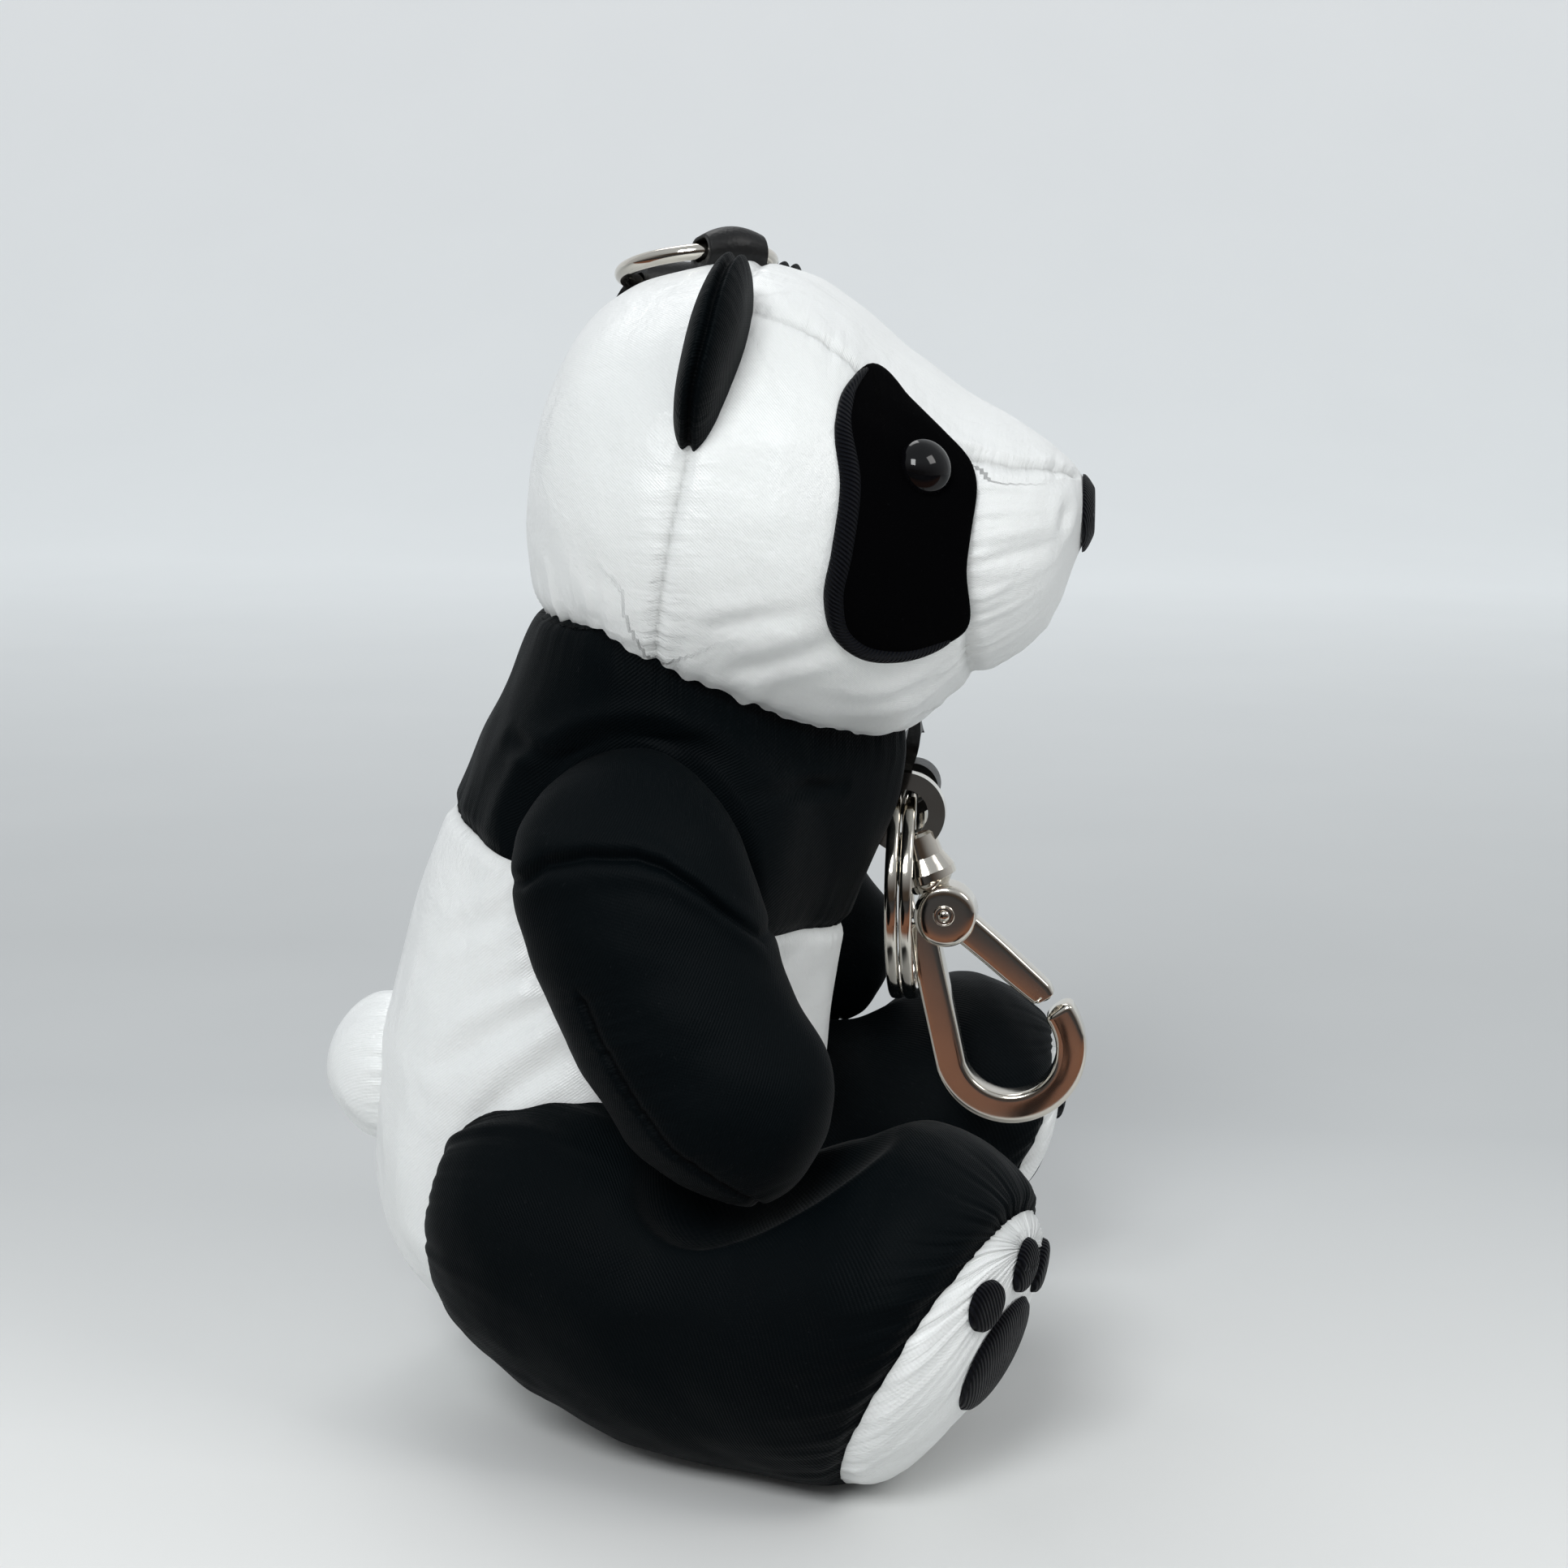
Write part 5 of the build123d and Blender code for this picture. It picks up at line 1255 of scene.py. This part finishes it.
# ------------------------------------------------------------------ hardware and leather
@dataclass(frozen=True)
class Hardware:
    """CAD pieces that stay, each with its finish, and the leather tab at the crown."""

    nickel: tuple[str, ...] = ("crown_ring", "swivel_eye", "gate_spring")
    leather: tuple[str, ...] = ("strap",)
    ring_middle: tuple = (7.41, -6.81, 119.96)
    ring_radius: float = 8.0
    ring_turn: float = 35.0
    ring_slope: float = 12.0
    tunnel: tuple = (3.6, 2.3)
    thickness: float = 1.2
    width: float = 6.6
    stem: float = 3.2
    thinning: float = 0.72

    def tab(self) -> None:
        """Tab: a slot-shaped loop of leather round the ring's wire, thinning to its edges like a saddle."""
        turn, slope = math.radians(self.ring_turn), math.radians(self.ring_slope)
        heading = np.array([math.cos(turn), math.sin(turn), 0.0])
        along = heading * math.cos(slope) - np.array([0, 0, math.sin(slope)])
        spin = heading * math.sin(slope) + np.array([0, 0, math.cos(slope)])
        side = np.cross(spin, along)
        middle = np.array(self.ring_middle) - along * self.ring_radius
        length, height = self.tunnel
        half = self.width / 2
        bend = np.linspace(0, math.pi, 19)
        lip = np.concatenate([half * np.sin(bend - math.pi / 2), half * np.sin(math.pi / 2 - bend)])[:, None]
        outer = np.concatenate([np.ones(19), np.zeros(19)])[:, None]
        lip, outer = np.vstack([lip, lip[:1]]), np.vstack([outer, outer[:1]])
        angle = np.linspace(0, TAU, 97)[None]
        thinning = self.thinning * (lip / half) ** 2
        thick = self.thickness * (1 - thinning * (0.55 + 0.45 * np.sin(angle)))
        radius = height / 2 + outer * thick
        cosine = np.cos(angle)
        x = np.sign(cosine) * (length - height) / 2 * (np.abs(cosine) > 1e-6) + radius * cosine
        z = radius * np.sin(angle) + 0 * lip
        y = lip + 0 * angle
        points = middle + along * x[..., None] + side * y[..., None] + spin * z[..., None]
        flat = np.zeros(x.shape)
        cloth = np.stack([angle * 2.5 + flat, y], -1)
        grid = Grid(points, cloth, np.stack([flat, flat + NO_SEAM, flat], -1))
        make_piece("leather_tab", grid, FINISHES["black_leather"], "toy", ("crown_tab",))
        corner = np.array([(-1, -1), (1, -1), (1, 1), (-1, 1), (-1, -1)], float)
        level = np.array([-height / 2 - self.thickness / 2, -height / 2 - self.thickness / 2 - self.stem])
        foot = (middle + along * (corner[:, 0] * self.thickness)[None, :, None]
                + side * (corner[:, 1] * half)[None, :, None] + spin * level[:, None, None])
        make_piece("leather_tab_stem", plain_grid(foot), FINISHES["black_leather"], "toy")

    def dress(self) -> None:
        """Give each CAD piece its finish."""
        self.tab()
        for names, finish in ((self.nickel, "nickel"), (self.leather, "black_leather")):
            for name in names:
                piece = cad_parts[name]
                for slot in piece.material_slots:
                    slot.material = FINISHES[finish]
                LOG.info("%s keeps its CAD shape", name)


@dataclass(frozen=True)
class SnapHook:
    """Polished hook with rounded edges: bar, head block and rivet on one body, and the gate on its own.

    Its plane holds the swivel's axis: places are (down the axis, forwards) from the origin.
    """

    origin: tuple = (8.9, -29.4, 61.43)
    lean: float = 19.0
    pin: tuple = (12.6, 0.7)
    bend: tuple = (29.3, 2.7)
    bend_radius: float = 6.85
    nose: float = 3.0
    half_width: float = 1.7
    half_depth: float = 1.9
    block_radius: float = 3.5
    block_depth: float = 2.6
    lever_angle: float = 31.2
    lever: tuple = ((0.4, 0.0, 0.6), (0.9, 0.0, 1.3), (2.5, 0.2, 1.75), (6.0, 0.2, 1.7), (10.5, 0.1, 1.6),
                    (13.9, 0.05, 1.45), (14.3, 0.0, 1.3), (14.55, -0.1, 1.05), (14.7, -0.15, 0.7),
                    (14.8, -0.2, 0.3))
    bar_power: float = 0.34
    block_power: float = 0.25
    ring_middle: tuple = (14.5, -29.4, 51.1)
    ring_radius: float = 11.75
    ring_axes: tuple = ((0.87, 0.0, -0.5), (0.5, 0.0, 0.87))
    turn_level: float = 0.8
    wire: float = 0.72
    wire_power: float = 0.6
    dome: tuple = ((0.02, 0.5), (0.3, 0.47), (0.55, 0.36), (0.7, 0.16), (0.74, -0.08), (0.84, -0.08),
                   (0.92, 0.1), (1.05, 0.16), (1.18, 0.1), (1.22, -0.2))

    def space(self, down: np.ndarray, ahead: np.ndarray, out: np.ndarray) -> np.ndarray:
        """Points in the toy's frame from places in the hook's plane and their height off it."""
        lean = math.radians(self.lean)
        axes = np.array([[0, -math.sin(lean), -math.cos(lean)], [0, -math.cos(lean), math.sin(lean)],
                         [-1.0, 0, 0]])
        return np.array(self.origin) + np.stack(np.broadcast_arrays(down, ahead, out), -1) @ axes

    def bar(self, line: np.ndarray, half: np.ndarray, depth: np.ndarray) -> np.ndarray:
        """Bar round a line in the plane, its section a superellipse."""
        tangent = unit(np.gradient(line, axis=0))
        across = np.stack([-tangent[:, 1], tangent[:, 0]], -1)
        angle = np.linspace(0, TAU, 65)[None]
        wide = rounded(np.cos(angle), self.bar_power) * half[:, None]
        deep = rounded(np.sin(angle), self.bar_power) * depth[:, None]
        return self.space(line[:, :1] + across[:, :1] * wide, line[:, 1:] + across[:, 1:] * wide, deep)

    def turned(self, middle: tuple, radius: np.ndarray, level: np.ndarray) -> np.ndarray:
        """Solid of revolution about a line through the plane, in 64 steps."""
        angle = np.linspace(0, TAU, 65)[None]
        down, ahead = radius[:, None] * np.cos(angle), radius[:, None] * np.sin(angle)
        return self.space(middle[0] + down, middle[1] + ahead, level[:, None])

    def piece(self, name: str, points: np.ndarray, body: str, node: str | None) -> None:
        """Make one polished piece with closed ends."""
        make_piece(name, plain_grid(points), FINISHES["nickel"], body, (node,) if node else ())

    def key_ring(self) -> None:
        """Split ring: one coil of two rounded turns, joined by a ramp over 30 degrees."""
        angle = np.radians(np.linspace(15, 705, 420))
        level = self.turn_level * (1 - 2 * smooth(math.radians(345), math.radians(375), angle))
        end = np.minimum(angle - angle[0], angle[-1] - angle)
        cap = np.sqrt(np.clip(1 - (1 - np.minimum(end / 0.05, 1)) ** 2, 0.001, 1))
        turn = np.linspace(0, TAU, 33)[None]
        wide = rounded(np.cos(turn), self.wire_power) * self.wire * cap[:, None]
        deep = rounded(np.sin(turn), self.wire_power) * self.wire * cap[:, None]
        first, second = np.array(self.ring_axes)
        radius = (self.ring_radius + wide)[..., None] / np.linalg.norm(first)
        points = (np.array(self.ring_middle) + radius * (np.cos(angle)[:, None, None] * first
                                                         + np.sin(angle)[:, None, None] * second)
                  + (level[:, None] + deep)[..., None] * np.array([0, -1.0, 0]))
        self.piece("split_ring", points, "key_ring", "key_ring")

    def make(self) -> None:
        """Build the key ring, and the hook's bar, block, rivet and gate."""
        self.key_ring()
        side = self.bend[1] - self.bend_radius
        shank = np.linspace((self.pin[0], side + 1.9), (self.bend[0], side), 30)[:-1]
        turn = np.linspace(-math.pi / 2, math.pi / 2, 60)[:, None]
        bend = np.array(self.bend) + self.bend_radius * np.hstack([np.cos(turn), np.sin(turn)])
        share = np.linspace(0, 1, 24)[1:, None]
        nose = bend[-1] - np.hstack([self.nose * share, 0.5 * share ** 2])
        line = np.vstack([shank, bend, nose])
        left = np.concatenate([[0], np.cumsum(np.linalg.norm(np.diff(line, axis=0), axis=1))])
        left = left[-1] - left
        cap = np.sqrt(np.clip(1 - (1 - np.minimum(left / 0.9, 1)) ** 2, 0.0004, 1))
        solid = self.bar(line, self.half_width * cap, self.half_depth * (0.35 + 0.65 * cap))
        self.piece("hook_bar", solid, "hook", "hook_body")
        polar = np.linspace(0.02, math.pi - 0.02, 61)
        radius = self.block_radius * np.sin(polar) ** self.block_power
        level = self.block_depth * rounded(np.cos(polar), self.block_power)
        self.piece("hook_block", self.turned((self.pin[0] + 0.2, self.pin[1]), radius, level), "hook", None)
        dome = np.array(self.dome)
        radius = np.concatenate([dome[:, 0], dome[::-1, 0]])
        level = np.concatenate([dome[:, 1] + self.block_depth, -(dome[::-1, 1] + self.block_depth)])
        self.piece("hook_rivet", self.turned(self.pin, radius, level), "hook", "gate_pin")
        turn = math.radians(self.lever_angle)
        table = np.array(self.lever)
        along = np.concatenate([np.linspace(0.4, 14.3, 50), np.linspace(14.33, 14.8, 16)])
        shift, half = monotone(table[:, 0], table[:, 1:], along).T
        line = np.stack([self.pin[0] + along * math.cos(turn) - shift * math.sin(turn),
                         self.pin[1] + along * math.sin(turn) + shift * math.cos(turn)], -1)
        self.piece("hook_gate", self.bar(line, half, np.minimum(1.45, 0.9 + half * 0.6)), "gate", "gate")


# ------------------------------------------------------------------ studio
@dataclass(frozen=True)
class Studio:
    """Pale floor, soft lamps and the camera."""

    azimuth: float = -82.65
    elevation: float = 9.4
    distance: float = 0.300
    target: tuple = (0.0, -0.01725, 0.06514)
    lens: float = 63.97
    pale: tuple = (0.62, 0.65, 0.665)

    def back(self) -> np.ndarray:
        """Unit vector from the target to the camera."""
        a, e = math.radians(self.azimuth), math.radians(self.elevation)
        return np.array([math.sin(a) * math.cos(e), -math.cos(a) * math.cos(e), math.sin(e)])

    def aim(self, obj: bpy.types.Object, place: np.ndarray, at: tuple) -> None:
        """Put an object at a place and turn its -Z towards a point."""
        obj.location = Vector(place)
        obj.rotation_euler = (Vector(at) - Vector(place)).to_track_quat("-Z", "Y").to_euler()

    def camera(self) -> None:
        """Make the camera at the toy's side."""
        data = bpy.data.cameras.new("camera")
        data.lens, data.sensor_width = self.lens, 36.0
        data.clip_start, data.clip_end = 0.01, 50.0
        obj = bpy.data.objects.new("camera", data)
        bpy.context.collection.objects.link(obj)
        self.aim(obj, np.array(self.target) + self.back() * self.distance, self.target)
        bpy.context.scene.camera = obj

    def lamp(self, name: str, place: tuple, size: float, power: float, colour: tuple) -> None:
        """Make one square soft lamp aimed at the toy."""
        data = bpy.data.lights.new(name, "AREA")
        data.shape, data.size, data.energy, data.color = "SQUARE", size, power, colour
        obj = bpy.data.objects.new(name, data)
        bpy.context.collection.objects.link(obj)
        self.aim(obj, np.array(place), (0.0, -0.01, 0.06))

    def floor(self) -> None:
        """Make the pale sheet: flat under the toy, then swept up a long way behind it.

        It is painted darker behind the toy and lighter towards the camera, and its far sweep glows (painted
        shade and light). To glossy rays its near part is painted as a warm brown table that darkens away from
        the toy (a painted reflection).
        """
        ahead = -self.back()[:2] / np.linalg.norm(self.back()[:2])
        side = np.array([-ahead[1], ahead[0]])
        bend = np.linspace(0, math.pi / 2, 25)
        run = np.concatenate([[-1.5, -0.4, 0.0, 0.4], 0.9 + 0.7 * np.sin(bend), [1.6]])
        rise = np.concatenate([[0, 0, 0, 0], 0.7 - 0.7 * np.cos(bend), [3.0]]) - 0.0002
        wide = np.linspace(-3.0, 3.0, 9)
        flat = run[:, None, None] * ahead + wide[None, :, None] * side
        verts = np.concatenate([flat, np.broadcast_to(rise[:, None, None], flat.shape[:2] + (1,))], -1)
        i, j = np.meshgrid(np.arange(len(run) - 1), np.arange(8), indexing="ij")
        corner = (i * 9 + j).ravel()
        mesh = bpy.data.meshes.new("floor")
        faces = np.stack([corner, corner + 9, corner + 10, corner + 1], 1)[:, ::-1]
        mesh.from_pydata(verts.reshape(-1, 3).tolist(), [], faces.tolist())
        mesh.shade_smooth()
        floor = bpy.data.objects.new("floor", mesh)
        bpy.context.collection.objects.link(floor)
        material, board, shader = new_material("Pale sheet")
        place = board.add("ShaderNodeTexCoord").outputs["Object"]
        noise = board.add("ShaderNodeTexNoise", {"Vector": place, "Scale": 14.0, "Detail": 5.0}).outputs[0]
        parts = board.add("ShaderNodeSeparateXYZ", {0: place}).outputs
        near = parts[0]
        # painted light and shade: the floor is darker behind the toy and lighter towards the camera
        front = board.add("ShaderNodeMapRange", {0: near, 1: 0.10, 2: -0.06}).outputs[0]
        colour = board.blend(front, (0.50, 0.515, 0.52, 1), (0.745, 0.75, 0.74, 1))
        colour = board.blend(board.math("MULTIPLY", noise, 0.12), colour, (0.80, 0.80, 0.79, 1))
        # painted reflection: this brown table is seen only by glossy rays, for the metal to reflect
        table = board.blend(board.add("ShaderNodeMapRange", {0: near, 1: -0.12, 2: -0.22}).outputs[0],
                            (0.19, 0.075, 0.037, 1), (0.012, 0.011, 0.012, 1))
        share = board.add("ShaderNodeMapRange", {0: near, 1: -0.045, 2: -0.065}).outputs[0]
        table = board.blend(share, colour, table)
        glossy = board.add("ShaderNodeLightPath").outputs["Is Glossy Ray"]
        material.node_tree.links.new(board.blend(glossy, colour, table), shader.inputs["Base Color"])
        # painted light: the sweep glows though it is no lamp, more with distance behind the toy and with
        # height
        far = board.add("ShaderNodeMapRange", {0: near, 1: 0.20, 2: 0.95}).outputs[0]
        high = board.add("ShaderNodeMapRange", {0: parts[2], 1: 0.02, 2: 0.5}).outputs[0]
        glow = board.blend(high, board.blend(far, (0, 0, 0, 1), (0.34, 0.36, 0.37, 1)), (0.47, 0.48, 0.49, 1))
        material.node_tree.links.new(glow, shader.inputs["Emission Color"])
        shader.inputs["Emission Strength"].default_value = 1.0
        shader.inputs["Roughness"].default_value = 0.8
        shader.inputs["Specular IOR Level"].default_value = 0.2
        mesh.materials.append(material)

    def world(self) -> None:
        """Light the surroundings: one pale tone to the camera; to the rest bright above, pale behind the
        toy, and dim and warm low down on the camera's side."""
        world = bpy.data.worlds.new("studio")
        bpy.context.scene.world = world
        world.use_nodes = True
        board = Board(world.node_tree)
        ground = world.node_tree.nodes["Background"]
        way = board.add("ShaderNodeSeparateXYZ", {0: board.add("ShaderNodeTexCoord").outputs["Generated"]})
        side = board.add("ShaderNodeMapRange", {0: way.outputs[0], 1: -0.9, 2: 0.35}).outputs[0]
        low = board.blend(side, (0.06, 0.045, 0.035, 1), (0.55, 0.56, 0.57, 1))
        share = board.add("ShaderNodeMapRange", {0: way.outputs[2], 1: 0.12, 2: 0.62}).outputs[0]
        light = board.blend(share, low, (0.52, 0.54, 0.56, 1))
        seen = board.add("ShaderNodeLightPath").outputs["Is Camera Ray"]
        colour = board.blend(seen, light, (*self.pale, 1))
        world.node_tree.links.new(colour, ground.inputs["Color"])
        ground.inputs["Strength"].default_value = 1.0

    def make(self) -> None:
        """Build the whole studio."""
        self.camera()
        self.floor()
        self.world()
        self.lamp("key", (-0.72, 0.10, 0.62), 0.30, 4.4, (0.97, 0.99, 1.0))
        self.lamp("front", (-0.30, -0.80, 0.75), 0.35, 2.3, (1.0, 0.99, 0.97))
        self.lamp("rim", (0.5, 0.2, 0.9), 0.4, 1.6, (1.0, 1.0, 1.0))


def main() -> None:
    """Build the studio and every piece in order, and note the sizes."""
    logging.basicConfig(level=logging.INFO, format="%(name)s %(message)s")
    scene = bpy.context.scene
    scene.view_settings.view_transform = "Standard"
    Studio().make()
    Head().make()
    Trim().make()
    Torso().make()
    for side in Side:
        Arm(side).make()
        Leg(side).make()
    Hardware().dress()
    SnapHook().make()


if __name__ == "__main__":
    main()
